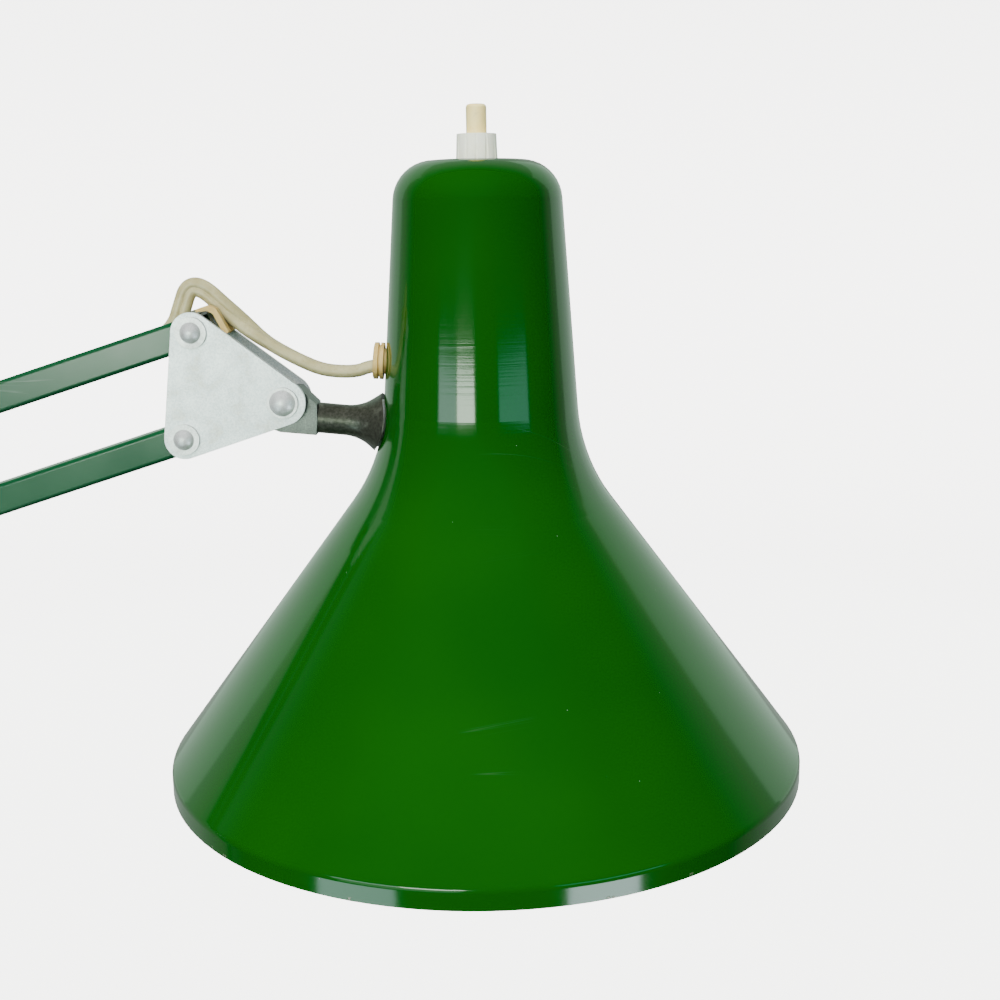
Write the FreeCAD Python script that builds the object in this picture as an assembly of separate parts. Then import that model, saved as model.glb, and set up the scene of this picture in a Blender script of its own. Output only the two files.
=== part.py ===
# Swing arm desk lamp: a weighted round base, a fork that swivels on it, two parallelogram arms of square
# tube, a bracket that keeps the head level, and a spun shade with a push switch in its top.
# Millimetres. The origin is the centre of the base's underside, +Z is up and the head is towards +X.
# Both arms move in the plane y = 0.
import math
import os

import FreeCAD
import Part

V = FreeCAD.Vector
Y = (0, 1, 0)

# clearances
running = 0.05          # radial play of a turning shaft, and the play of a washer's face
free = 0.3              # room between pieces that never touch

# base
base_radius = 95.0
base_height = 27.0
base_edge_radius = 9.0
cover_wall = 1.2
pad_thickness = 2.0
pad_inset = 4.0
collar_foot_radius = 21.0
collar_foot_height = 3.0
collar_top_radius = 12.0
collar_height = 17.0
collar_hollow = 18.0    # radius of the collar's hollow flank
collar_edge = 1.2
sleeve_wall = 2.0       # collar's sleeve inside the weight
recess_radius = 17.0
recess_depth = 16.0
channel_width = 8.0
channel_height = 10.0
bush_wall = 2.5
bush_flange = 2.0
bush_flange_thickness = 1.5

# fork
stem_radius = 6.5
stem_bore_radius = 3.5
stem_tail = 7.0         # stem below the underside of the bush
block_height = 14.0
block_width = 26.0
fork_rise = 34.0        # from the block's underside to the pivots
plate_above_block = 3.0 # fork plates start this far above the block's underside
plate_corner = 3.0
stem_washer_radius = 12.5
stem_washer_thickness = 1.2
stem_nut_corner = 11.0
stem_nut_thickness = 4.5

# arms
pivot_pitch = 31.0      # between the two pivots of each parallelogram
lower_arm_length = 380.0
lower_arm_angle = 118.0
upper_arm_length = 385.0
upper_arm_angle = 17.5
tube_side = 9.0
tube_wall = 1.0
tube_corner = 1.2
tube_overhang = 4.0
slot_width = 4.6        # slots that the cord goes through in a tube's wall
fork_slot = (44.0, 66.0)        # along a tube, from its pivot at the fork or the elbow
elbow_low_slot = (48.0, 27.0)   # back from the tube's far pivot
elbow_top_slot = (19.0, 38.0)
head_slot = (17.0, 2.4)
lower_cord_ends = (72.0, 50.0)  # cord inside the lower tube, from its two pivots
upper_cord_ends = (38.0, 20.0)
cord_gap = 1.0          # between the ends of two lengths of cord inside a tube

# bracket plates, pins and washers
plate_thickness = 1.5
pin_radius = 2.5
washer_radius = 4.6
washer_thickness = 0.9
rivet_radius = 4.5
rivet_flange = 0.8
rivet_dome_radius = 3.0
rivet_dome_height = 1.6
plate_margin = 5.8      # metal round a head pivot
nose_margin = 6.6
wide_margin = 7.0       # metal round a fork or an elbow pivot
head_lean = 7.0         # the head pivots' line leans this far from upright, in degrees
elbow_rise = 26.0       # from the elbow's lower pivots up to its upper pair
elbow_offset = 3.0
nose_reach = 25.2       # nose pivot from the bracket's top pivot
nose_drop = 20.5

# springs
spring_y = 16.0
spring_radius = 6.5
spring_wire = 1.6
spring_eye_radius = 5.0
stud_radius = 2.2
stud_head_radius = 3.6
stud_head_thickness = 1.2
stud_margin = 5.5       # metal round the fork's spring stud
stud_beyond = 5.0       # stud's shoulder, outside the spring's middle
bolt_collar = 2.0
stud_offset = 12.0      # spring stud above the pivot that it works about
lower_spring_reach = 150.0
upper_spring_reach = 125.0
spring_leg = 9.0        # from an eye's centre to the first turn
spring_leg_radius = 0.7
hook_leg_length = 20.0
hook_disc_inside = 8.0  # hook's disc, from the coil's end

# knuckle, ferrule and swivel
knuckle_ahead = 9.5     # ferrule's end, ahead of the nose pivot and below it
knuckle_below = 5.4
swivel_drop = 6.0       # slope of the swivel axis, in degrees
ferrule_length = 21.0
ferrule_radius = 4.5
ferrule_flare_radius = 10.1
ferrule_waist = 12.0
ferrule_flare_start = 19.4
ferrule_hollow = 12.5
spigot_radius = 3.0
swivel_washer_radius = 7.0
swivel_washer_thickness = 0.8
spigot_nut_width = 10.0
spigot_nut_thickness = 2.5
spigot_nut_gap = 1.4    # from the neck's inner face, room for its curve

# shade
rim_radius = 95.0
rim_band = 5.6
shade_height = 179.2
neck_height = 85.7
neck_top_radius = 23.4
neck_base_radius = 29.6
shade_wall = 1.0
top_edge_radius = 11.4
neck_blend_radius = 52.0
band_bend_radius = 3.0
axis_ahead = 47.6       # shade's axis, ahead of the ferrule's end
rim_below = 106.4       # rim, below the ferrule's end
grommet_height = 122.7  # above the rim
grommet_radius = 5.35
grommet_proud = 3.5

# switch, lampholder and lamp
nipple_radius = 5.0
button_radius = 2.9
button_length = 29.0
button_above = 15.2     # top of the button, above the shade
button_travel = 3.0
switch_nut_radius = 5.9
switch_nut_height = 7.1
switch_nut_taper = 0.3
switch_nut_ribs = 12
groove_radius = 0.6     # groove between two ribs, its centre outside the nut
groove_out = 0.25
holder_radius = 19.0
holder_wall = 2.0
holder_cap_length = 39.0
holder_skirt_length = 27.0
holder_neck = 9.0       # the button's collar stops here, below the shade's top
button_collar_radius = 5.0
button_collar_thickness = 1.5
button_spring_radius = 4.6
button_spring_wire = 1.0
insert_top = 27.0       # below the shade's top
insert_thickness = 5.0
bulb_radius = 30.0
bulb_recess = 42.0      # the bulb's end, above the rim
bulb_glass_length = 78.0
glass_wall = 0.9
cap_radius = 13.2
cap_length = 22.0
cap_tip = 3.0
cap_tip_radius = 5.0
cap_wall = 0.6

# cord
clip_channel = 4.6      # room for the cord between the saddle's walls
cord_thickness = 3.6    # thinner side of the flat twin cord
cord_width = 5.6
coil_turn_radius = 32.0
coil_layers = 4
coil_rows = 2
coil_centre = (-176.0, 44.0)
relief_length = 32.0
relief_radius = 5.0
relief_height = 7.0
relief_tip_radius = 2.8
relief_neck = 1.2       # boot is thinner by this where it fills the cover's hole
relief_inside = 8.0
relief_rings = 5
relief_ring_pitch = 5.2
relief_ring_depth = 0.8
plug_centre = (-137.0, 80.0)
plug_ahead = 8.0        # plug's body starts this far ahead of plug_centre
plug_body_length = 27.6
plug_width = 26.0
plug_thickness = 13.0
plug_corner = 3.0
plug_boot_length = 17.0
plug_boot_radii = (3.4, 5.5)
plug_pin_radius = 2.0
plug_pin_length = 19.0
plug_pin_spacing = 18.6

# the arm plane: pivot places as (x, z)
half_gap = tube_side / 2 + washer_thickness + 2 * running
plate_outside = half_gap + plate_thickness
weight_top = base_height - cover_wall - free
bush_bottom = pad_thickness + recess_depth
collar_top = base_height + collar_height
block_bottom = collar_top + bush_flange_thickness + free
pivot_height = block_bottom + fork_rise
sleeve_radius = stem_radius + bush_wall + sleeve_wall
stud_end = spring_y + stud_beyond


def along(start, distance, degrees):
    a = math.radians(degrees)
    return start[0] + distance * math.cos(a), start[1] + distance * math.sin(a)


def beside(start, dx, dz):
    return start[0] + dx, start[1] + dz


fork_rear = (-pivot_pitch / 2, pivot_height)
fork_front = (pivot_pitch / 2, pivot_height)
elbow_rear = along(fork_rear, lower_arm_length, lower_arm_angle)
elbow_front = along(fork_front, lower_arm_length, lower_arm_angle)
elbow_low = beside(elbow_rear, pivot_pitch / 2 + elbow_offset, elbow_rise)
elbow_top = along(elbow_low, pivot_pitch, 90 - head_lean)
head_top = along(elbow_top, upper_arm_length, upper_arm_angle)
head_low = along(elbow_low, upper_arm_length, upper_arm_angle)
nose = beside(head_top, nose_reach, -nose_drop)
ferrule_end = beside(nose, knuckle_ahead, -knuckle_below)
shade_x = ferrule_end[0] + axis_ahead
rim_z = ferrule_end[1] - rim_below
shade_top = rim_z + shade_height
fork_stud = beside(fork_front, 0, stud_offset)
elbow_stud = beside(elbow_low, 0, stud_offset)
lower_bolt = along(fork_front, lower_spring_reach, lower_arm_angle)
upper_bolt = along(elbow_low, upper_spring_reach, upper_arm_angle)


# ---- shapes

def at(place, y=0.0):
    return V(place[0], y, place[1])


def edge_run(points, radii):
    """Edges along points, with each inner corner rounded by its radius (0 leaves it sharp)."""
    edges, start = [], points[0]
    for before, corner, after, radius in zip(points, points[1:], points[2:], radii):
        u, w = (corner - before).normalize(), (after - corner).normalize()
        half = u.getAngle(w) / 2
        if radius <= 0 or half < 1e-4:
            edges.append(Part.makeLine(start, corner))
            start = corner
            continue
        cut = radius * math.tan(half)
        first, last = corner - u * cut, corner + w * cut
        middle = corner + (w - u).normalize() * (radius / math.cos(half) - radius)
        if (first - start).Length > 1e-6:
            edges.append(Part.LineSegment(start, first).toShape())
        edges.append(Part.Arc(first, middle, last).toShape())
        start = last
    edges.append(Part.LineSegment(start, points[-1]).toShape())
    return edges


def turned(corners, radii=(), start=V(0, 0, 0), direction=V(0, 0, 1)):
    """Solid turned about an axis; corners are (radius, distance along it), rounded from the second on."""
    outline = [V(r, 0, t) for r, t in corners]
    sharp = [0] * (len(corners) - 1 - len(radii))
    edges = edge_run(outline + outline[:1], list(radii) + sharp)
    solid = Part.Face(Part.Wire(edges)).revolve(V(0, 0, 0), V(0, 0, 1), 360)
    solid = Part.makeSolid(solid) if solid.ShapeType == "Shell" else solid
    solid.Placement = FreeCAD.Placement(V(*start), FreeCAD.Rotation(V(0, 0, 1), V(*direction)))
    return solid


def rod(radius, place, y_low, y_high):
    """Round bar across the arm plane."""
    return Part.makeCylinder(radius, y_high - y_low, at(place, y_low), V(*Y))


def ring(outer, inner, place, y_low, y_high):
    return rod(outer, place, y_low, y_high).cut(rod(inner, place, y_low - 1, y_high + 1))


def hexagon(corner, thickness):
    """Hexagonal blank of a nut, standing on the origin."""
    turns = [n * math.pi / 3 for n in range(7)]
    outline = Part.makePolygon([V(corner * math.cos(a), corner * math.sin(a), 0) for a in turns])
    return Part.Face(outline).extrude(V(0, 0, thickness))


def washer_pair(place):
    low = tube_side / 2 + running
    high = low + washer_thickness
    return [ring(washer_radius, pin_radius, place, *side) for side in ((low, high), (-high, -low))]


def plate(circles, y_low, holes, hole_radius):
    """Flat plate whose outline wraps circles (x, z, radius) listed anticlockwise."""
    edges, normals, count = [], [], len(circles)
    for n, (x, z, r) in enumerate(circles):
        x2, z2, r2 = circles[(n + 1) % count]
        run = V(x2 - x, 0, z2 - z)
        lean = math.asin((r - r2) / run.Length)
        run.normalize()
        side = V(run.z, 0, -run.x)
        normals.append(side * math.cos(lean) + run * math.sin(lean))
    for n, (x, z, r) in enumerate(circles):
        centre, came, goes = V(x, y_low, z), normals[n - 1], normals[n]
        first, last = centre + came * r, centre + goes * r
        edges.append(Part.Arc(first, centre + (came + goes).normalize() * r, last).toShape())
        x2, z2, r2 = circles[(n + 1) % count]
        edges.append(Part.LineSegment(last, V(x2, y_low, z2) + goes * r2).toShape())
    body = Part.Face(Part.Wire(edges)).extrude(V(0, plate_thickness, 0))
    for hole in holes:
        body = body.cut(rod(hole_radius, hole, y_low - 1, y_low + plate_thickness + 1))
    return body


def plate_two(circles, holes, hole_radius=pin_radius):
    """The near and the far plate of a bracket."""
    return (plate(circles, -plate_outside, holes, hole_radius),
            plate(circles, half_gap, holes, hole_radius))


def rivet(place, dome_radius=rivet_dome_radius, shaft_radius=pin_radius):
    """Pin through both plates, with a flanged and domed head at each end."""
    body = rod(shaft_radius, place, -plate_outside, plate_outside)
    ball = (dome_radius ** 2 + rivet_dome_height ** 2) / (2 * rivet_dome_height)
    for side in (1, -1):
        seat = plate_outside * side
        top = seat + rivet_flange * side
        flange = rod(rivet_radius, place, min(seat, top), max(seat, top))
        dome = Part.makeSphere(ball, at(place, top - (ball - rivet_dome_height) * side))
        keep = rod(rivet_radius, place, min(top, top + 5 * side), max(top, top + 5 * side))
        body = body.fuse(flange).fuse(dome.common(keep))
    return body.removeSplitter()


def square_bar(start, end, side, grow, corner=0.0):
    """Square bar along the arm plane from start to end, longer by grow at both ends."""
    run = at(end) - at(start)
    length = run.Length + 2 * grow
    bar = Part.makeBox(length, side, side, V(-grow, -side / 2, -side / 2))
    if corner:
        bar = bar.makeFillet(corner, [e for e in bar.Edges if abs(e.Length - length) < 1e-6])
    turn = FreeCAD.Rotation(V(0, -1, 0), math.degrees(math.atan2(run.z, run.x)))
    bar.Placement = FreeCAD.Placement(at(start), turn)
    return bar


def arm_tube(start, end, angle, bolt=None, slots=()):
    """Square tube, pin hole at each end; a slot is (first, last, side), along from start."""
    body = square_bar(start, end, tube_side, tube_overhang, tube_corner)
    body = body.cut(square_bar(start, end, tube_side - 2 * tube_wall, tube_overhang + 1))
    holes = [(start, pin_radius + running), (end, pin_radius + running)]
    if bolt:
        holes.append((bolt, stud_radius))
    for place, radius in holes:
        body = body.cut(rod(radius, place, -tube_side, tube_side))
    turn = FreeCAD.Rotation(V(0, -1, 0), angle)
    for first, last, side in slots:
        low = 0 if side > 0 else -tube_side
        cutter = Part.makeBox(last - first, slot_width, tube_side, V(first, -slot_width / 2, low))
        cutter.Placement = FreeCAD.Placement(at(start), turn)
        body = body.cut(cutter)
    return body


def cord_tube(points, name, diameter=cord_thickness):
    """Round tube along straight runs joined by arcs as large as the runs allow."""
    radii = []
    for before, corner, after in zip(points, points[1:], points[2:]):
        half = (corner - before).getAngle(after - corner) / 2
        shorter = min((corner - before).Length, (after - corner).Length)
        radii.append(0.45 * shorter / math.tan(half))
    path = Part.Wire(edge_run(points, radii))
    section = Part.Wire(Part.makeCircle(diameter / 2, points[0], points[1] - points[0]))
    tube = path.makePipeShell([section], True, False)
    exact = math.pi * diameter ** 2 / 4 * path.Length
    smallest = f"{min(radii):.1f}" if radii else "none"
    print(f"{name}: length {path.Length:.1f}, smallest radius {smallest}, "
          f"radii {[round(r, 1) for r in radii]}, volume ratio {tube.Volume / exact:.4f}")
    return tube


# ---- base

def base_cover():
    outer = [(0, base_height), (0, pad_thickness), (base_radius, pad_thickness),
             (base_radius, base_height)]
    inner_top = base_height - cover_wall
    inner_radius = base_radius - cover_wall
    inner = [(0, inner_top), (0, 0), (inner_radius, 0), (inner_radius, inner_top)]
    cover = turned(outer, [0, 0, base_edge_radius])
    cover = cover.cut(turned(inner, [0, 0, base_edge_radius - cover_wall]))
    cover = cover.cut(Part.makeCylinder(sleeve_radius, 2 * base_height))
    outside = V(-base_radius - cover_wall, 0, relief_height)
    return cover.cut(Part.makeCylinder(relief_radius - 1, 3 * cover_wall, outside, V(1, 0, 0)))


def base_weight():
    radius = base_radius - cover_wall - free
    corners = [(0, weight_top), (0, pad_thickness), (radius, pad_thickness), (radius, weight_top)]
    body = turned(corners, [0, 0, base_edge_radius - cover_wall - free])
    body = body.cut(Part.makeCylinder(sleeve_radius, 3 * base_height))
    body = body.cut(Part.makeCylinder(recess_radius, recess_depth, V(0, 0, pad_thickness)))
    channel = Part.makeBox(2 * base_radius, channel_width, channel_height,
                           V(-2 * base_radius, -channel_width / 2, pad_thickness))
    edge = V(-base_radius, 0, relief_height)
    relief_room = Part.makeCylinder(relief_radius + free, relief_inside + 4, edge, V(1, 0, 0))
    return body.cut(channel).cut(relief_room)


def felt_pad():
    return Part.makeCylinder(base_radius - pad_inset, pad_thickness)


def base_collar():
    """Turned boss on top of the cover, with a sleeve down into the weight."""
    bore = stem_radius + bush_wall
    corners = [(bore, bush_bottom), (sleeve_radius, bush_bottom), (sleeve_radius, base_height),
               (collar_foot_radius, base_height), (collar_foot_radius, base_height + collar_foot_height),
               (collar_top_radius, collar_top), (bore, collar_top)]
    return turned(corners, [0, 0, 0, collar_edge, collar_hollow, collar_edge])


def base_bush():
    low, high = bush_bottom, collar_top
    top = high + bush_flange_thickness
    bore, outer = stem_radius + running, stem_radius + bush_wall
    return turned([(bore, low), (outer, low), (outer, high), (outer + bush_flange, high),
                   (outer + bush_flange, top), (bore, top)])


def strain_relief():
    """Moulded boot round the lead where it leaves the base, tapered, with shallow rings."""
    inside, end = relief_inside, relief_inside + relief_length
    slope = (relief_radius - relief_tip_radius) / relief_length
    neck = relief_radius - relief_neck
    corners = [(cord_thickness / 2, 0), (neck, 0), (neck, inside),
               (relief_radius, inside), (relief_radius, inside + 2.5)]
    for n in range(relief_rings):
        t = inside + 4 + n * relief_ring_pitch
        outer = relief_radius - slope * (t - inside)
        groove = outer - relief_ring_depth
        corners += [(groove, t), (groove, t + 1.4), (outer, t + 1.4), (outer, t + 3.6)]
    corners += [(relief_tip_radius, end), (cord_thickness / 2, end)]
    start = V(-base_radius + inside, 0, relief_height)
    return turned(corners, start=start, direction=V(-1, 0, 0))


# ---- fork

def fork_stem():
    """Hollow stem under a solid block that both fork plates are riveted to."""
    bottom = bush_bottom - stem_tail
    stem = Part.makeCylinder(stem_radius, block_bottom - bottom, V(0, 0, bottom))
    corner = V(-block_width / 2, -half_gap, block_bottom)
    block = Part.makeBox(block_width, 2 * half_gap, block_height, corner)
    body = stem.fuse(block).cut(Part.makeCylinder(stem_bore_radius, pivot_height))
    for place in fork_rivet_places():
        body = body.cut(rod(pin_radius, place, -block_width, block_width))
    return body.removeSplitter()


def fork_rivet_places():
    return [(x, block_bottom + block_height / 2) for x in (-block_width / 3, block_width / 3)]


def fork_plates():
    low = block_bottom + plate_above_block
    half = block_width / 2 - plate_corner
    circles = [(-half, low, plate_corner), (half, low, plate_corner), (*fork_front, wide_margin),
               (*fork_stud, stud_margin), (*fork_rear, wide_margin)]
    near, far = plate_two(circles, [fork_front, fork_rear, *fork_rivet_places()])
    hole = rod(stud_radius, fork_stud, -30, 30)
    return near.cut(hole), far.cut(hole)


def stud_pair(place):
    """Shouldered studs that the springs hook on, riveted into the outside of each plate."""
    studs = []
    for side in (1, -1):
        root, head = half_gap * side, stud_end * side
        tip = head + stud_head_thickness * side
        shaft = rod(stud_radius, place, min(root, head), max(root, head))
        studs.append(shaft.fuse(rod(stud_head_radius, place, min(head, tip), max(head, tip))))
    return studs


def stem_nut():
    """Plain washer and hexagon nut under the bush."""
    seat = bush_bottom - free - stem_washer_thickness
    washer = Part.makeCylinder(stem_washer_radius, stem_washer_thickness, V(0, 0, seat))
    nut = hexagon(stem_nut_corner, stem_nut_thickness)
    nut.translate(V(0, 0, seat - stem_nut_thickness))
    bore = Part.makeCylinder(stem_radius, base_height)
    return [washer.cut(bore), nut.cut(bore)]


# ---- arms

def lower_rear_tube():
    slots = [(*fork_slot, -1), (*(lower_arm_length - back for back in elbow_low_slot), 1)]
    return arm_tube(fork_rear, elbow_rear, lower_arm_angle, slots=slots)


def lower_front_tube():
    return arm_tube(fork_front, elbow_front, lower_arm_angle, bolt=lower_bolt)


def upper_top_tube():
    slots = [(*elbow_top_slot, 1), (*(upper_arm_length - back for back in head_slot), 1)]
    return arm_tube(elbow_top, head_top, upper_arm_angle, slots=slots)


def upper_bottom_tube():
    return arm_tube(elbow_low, head_low, upper_arm_angle, bolt=upper_bolt)


def spring_bolt(place):
    """Bolt through a tube, with a spring eye's seat on each side."""
    body = rod(stud_radius, place, -stud_end, stud_end)
    for start, thickness in ((stud_end, stud_head_thickness), (tube_side / 2, bolt_collar)):
        body = body.fuse(rod(stud_head_radius, place, start, start + thickness))
        body = body.fuse(rod(stud_head_radius, place, -start - thickness, -start))
    return body.removeSplitter()


def spring_line(stud, bolt):
    """Eye centres of a spring pulled tight between its stud and its bolt."""
    run = (at(bolt) - at(stud)).normalize()
    slack = spring_eye_radius - spring_wire / 2 - stud_radius - running
    return at(stud) + run * slack, at(bolt) - run * slack, run


def spring_eye(centre):
    return Part.makeTorus(spring_eye_radius, spring_wire / 2, centre, V(*Y))


def springs(stud, bolt):
    """Coils as sleeves of their outer size, each with the eye that stays on the bolt."""
    low, high, run = spring_line(stud, bolt)
    made = []
    for side in (1, -1):
        lift = V(0, spring_y * side, 0)
        first, last = low + run * spring_leg + lift, high - run * spring_leg + lift
        length = (last - first).Length
        sleeve = Part.makeCylinder(spring_radius, length, first, run)
        bore = Part.makeCylinder(spring_radius - spring_wire, length - spring_wire, first, run)
        leg = Part.makeCylinder(spring_leg_radius, spring_leg - spring_eye_radius + spring_wire,
                                last - run * (spring_wire / 2), run)
        made.append(sleeve.cut(bore).fuse(leg).fuse(spring_eye(high + lift)).removeSplitter())
    return made


def spring_hooks(stud, bolt):
    """The eyes that stay on the studs, each with a leg and a disc inside the coil's end."""
    low, _, run = spring_line(stud, bolt)
    made = []
    for side in (1, -1):
        lift = V(0, spring_y * side, 0)
        centre = low + lift
        leg = Part.makeCylinder(spring_leg_radius, hook_leg_length,
                                centre + run * (spring_eye_radius - free), run)
        disc = Part.makeCylinder(spring_radius - spring_wire - free, spring_wire,
                                 centre + run * (spring_leg + hook_disc_inside), run)
        made.append(spring_eye(centre).fuse(leg).fuse(disc).removeSplitter())
    return made


# ---- elbow and head brackets

def elbow_pivots():
    return elbow_rear, elbow_front, elbow_low, elbow_top


def elbow_plates():
    circles = [(*elbow_rear, wide_margin), (*elbow_front, wide_margin), (*elbow_top, wide_margin)]
    near, far = plate_two(circles, elbow_pivots())
    hole = rod(stud_radius, elbow_stud, -30, 30)
    return near.cut(hole), far.cut(hole)


def head_plates():
    circles = [(*head_low, plate_margin), (*nose, nose_margin), (*head_top, plate_margin)]
    return plate_two(circles, [head_low, nose, head_top])


def cord_clip():
    """Bent plastic saddle between the plates: two walls, with the cord on a thin web between them."""
    seat = tube_side / 2
    top = [(1.2, seat + 1.9), (4.8, seat + 3.1), (7.2, seat + 2.2), (10.6, 0.0)]
    under = [(9.3, -1.0), (6.2, seat + 0.7), (4.6, seat + 1.5), (1.5, seat + 1.2)]
    corners = [at(beside(head_top, *p), -half_gap + running) for p in top + under]
    strip = Part.Face(Part.Wire(edge_run(corners + corners[:1], [1.2, 1.2, 0, 0, 0.8, 0.8, 0])))
    body = strip.extrude(V(0, 2 * (half_gap - running), 0))
    room = [(0, seat + 1.7), (4.5, seat + 2.2), (5.4, seat + 1.6), (5.4, -3), (14, -3), (14, 14), (0, 14)]
    corners = [at(beside(head_top, *p), -clip_channel / 2) for p in room]
    channel = Part.Face(Part.makePolygon(corners + corners[:1])).extrude(V(0, clip_channel, 0))
    return body.cut(channel).removeSplitter()


# ---- knuckle and swivel

swivel_start = at(ferrule_end)
swivel_run = V(math.cos(math.radians(swivel_drop)), 0, -math.sin(math.radians(swivel_drop)))


def swivel_bar(radius, start, end):
    return Part.makeCylinder(radius, end - start, swivel_start + swivel_run * start, swivel_run)


def neck_distance():
    """From the ferrule's end to the neck, along the swivel axis."""
    probe = Part.Edge(Part.LineSegment(swivel_start, swivel_start + swivel_run * axis_ahead))
    return probe.cut(shade_profile(0)).Length


def knuckle():
    """Steel tongue between the head plates, with a spigot for the ferrule and the shade."""
    half = tube_side / 2
    corners = [(-3.2, -8.2), (-1.5, -8.9), (knuckle_ahead, -knuckle_below - 4.6), (knuckle_ahead, -1.0),
               (4.5, 4.0), (-3.5, 4.4), (-6.0, 1.0), (-6.0, -5.0)]
    points = [at(beside(nose, *p), -half) for p in corners]
    body = Part.Face(Part.makePolygon(points + points[:1])).extrude(V(0, tube_side, 0))
    trim = swivel_bar(3 * ferrule_length, 0, ferrule_length)
    length = neck_distance() + swivel_washer_thickness + shade_wall + spigot_nut_thickness + 0.5
    body = body.cut(trim).fuse(swivel_bar(spigot_radius, -5, length))
    return body.cut(rod(pin_radius + running, nose, -30, 30)).removeSplitter()


def ferrule():
    """Trumpet between the knuckle and the neck, its wide end cut to the neck's curve."""
    reach, bore = ferrule_length + 3, spigot_radius + running
    corners = [(bore, 0), (ferrule_radius, 0), (ferrule_radius, ferrule_waist),
               (ferrule_flare_radius, ferrule_flare_start), (ferrule_flare_radius, reach), (bore, reach)]
    body = turned(corners, [0, ferrule_hollow, 0.8], swivel_start, swivel_run)
    return body.cut(shade_profile(-swivel_washer_thickness))


def swivel_washer():
    blank = swivel_bar(swivel_washer_radius, 0, axis_ahead)
    blank = blank.common(shade_profile(-swivel_washer_thickness)).cut(shade_profile(0))
    return blank.cut(swivel_bar(spigot_radius + running, 0, axis_ahead))


def spigot_nut():
    """Hexagon nut on the spigot inside the neck."""
    start = swivel_start + swivel_run * (neck_distance() + shade_wall + spigot_nut_gap)
    nut = hexagon(spigot_nut_width / 2 / math.cos(math.pi / 6), spigot_nut_thickness)
    nut.Placement = FreeCAD.Placement(start, FreeCAD.Rotation(V(0, 0, 1), swivel_run))
    return nut.cut(swivel_bar(spigot_radius, 0, axis_ahead))


# ---- shade and grommet

def shade_profile(inset):
    """Half section of the shade, inset by a wall."""
    cone_low = (rim_radius, rim_band)
    cone_high = (neck_base_radius, shade_height - neck_height)
    top = (neck_top_radius, shade_height)
    lines = [((rim_radius, -5), cone_low), (cone_low, cone_high), (cone_high, top),
             (top, (0, shade_height))]
    moved = []
    for (r1, z1), (r2, z2) in lines:
        size = math.hypot(r2 - r1, z2 - z1)
        side = (-(z2 - z1) / size * inset, (r2 - r1) / size * inset)
        moved.append((r1 + side[0], z1 + side[1], r2 - r1, z2 - z1))
    corners = []
    for (r1, z1, dr1, dz1), (r2, z2, dr2, dz2) in zip(moved, moved[1:]):
        t = ((r2 - r1) * dz2 - (z2 - z1) * dr2) / (dr1 * dz2 - dz1 * dr2)
        corners.append((r1 + t * dr1, z1 + t * dz1))
    low = 0 if inset == 0 else -1
    corners = [(0, low), (moved[0][0], low)] + corners + [(0, shade_height - inset)]
    bends = [0, band_bend_radius - inset, neck_blend_radius + inset, top_edge_radius - inset]
    return turned(corners, bends, V(shade_x, 0, rim_z))


def shade():
    body = shade_profile(0).cut(shade_profile(shade_wall))
    body = body.cut(Part.makeCylinder(nipple_radius, 30, V(shade_x, 0, shade_top - 15)))
    body = body.cut(swivel_bar(spigot_radius + running, 0, axis_ahead))
    start, run = grommet_seat()
    return body.cut(Part.makeCylinder(grommet_radius - 1.6, 12, start - run * 6, run))


def grommet_seat():
    """Place on the neck and outward direction of the cord's grommet."""
    taper = (neck_base_radius - neck_top_radius) / neck_height
    radius = neck_base_radius - taper * (grommet_height - (shade_height - neck_height))
    run = V(-1, 0, taper).normalize()
    return V(shade_x - radius, 0, rim_z + grommet_height), run


def grommet():
    """Moulded grommet with two flanges outside the neck and one inside."""
    start, run = grommet_seat()
    neck, bore = grommet_radius - 1.6, cord_thickness / 2 + running
    corners = [(bore, -3.2), (grommet_radius - 0.7, -3.2), (grommet_radius - 0.7, -1.6), (neck, -1.6),
               (neck, 0.5), (grommet_radius, 0.5), (grommet_radius, 1.5),
               (grommet_radius - 0.7, 1.6), (grommet_radius - 0.7, 2.0), (grommet_radius, 2.1),
               (grommet_radius, grommet_proud - 0.2),
               (grommet_radius - 0.5, grommet_proud), (bore, grommet_proud)]
    seat = Part.makeCylinder(neck, 12, start - run * 6, run)
    wall = shade_profile(0).cut(shade_profile(shade_wall)).cut(seat)
    return turned(corners, start=start, direction=run).cut(wall)


# ---- switch, lampholder and lamp

def down(z):
    """Height that lies z below the shade's top."""
    return shade_top - z


def holder_cap():
    """Lampholder cap under the shade's top, with a threaded neck through it for the button."""
    r, w = holder_radius, holder_wall
    bore = button_radius + running
    bottom = down(holder_cap_length)
    corners = [(bore, down(-switch_nut_height)), (nipple_radius, down(-switch_nut_height)),
               (nipple_radius, down(shade_wall)), (10, down(shade_wall)), (r, down(12)),
               (r, bottom), (r - w, bottom), (r - w, down(13)), (9, down(4)), (6, down(4)),
               (6, down(holder_neck)), (bore, down(holder_neck))]
    return turned(corners, start=V(shade_x, 0, 0))


def switch_nut():
    """Ribbed ring nut on the threaded neck."""
    low, high = shade_top, shade_top + switch_nut_height
    corners = [(nipple_radius, low), (switch_nut_radius, low),
               (switch_nut_radius - switch_nut_taper, high), (nipple_radius, high)]
    nut = turned(corners, start=V(shade_x, 0, 0))
    out = switch_nut_radius + groove_out
    for n in range(switch_nut_ribs):
        a = 2 * math.pi * n / switch_nut_ribs
        centre = V(shade_x + out * math.cos(a), out * math.sin(a), low)
        nut = nut.cut(Part.makeCylinder(groove_radius, switch_nut_height, centre))
    return nut


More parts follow.
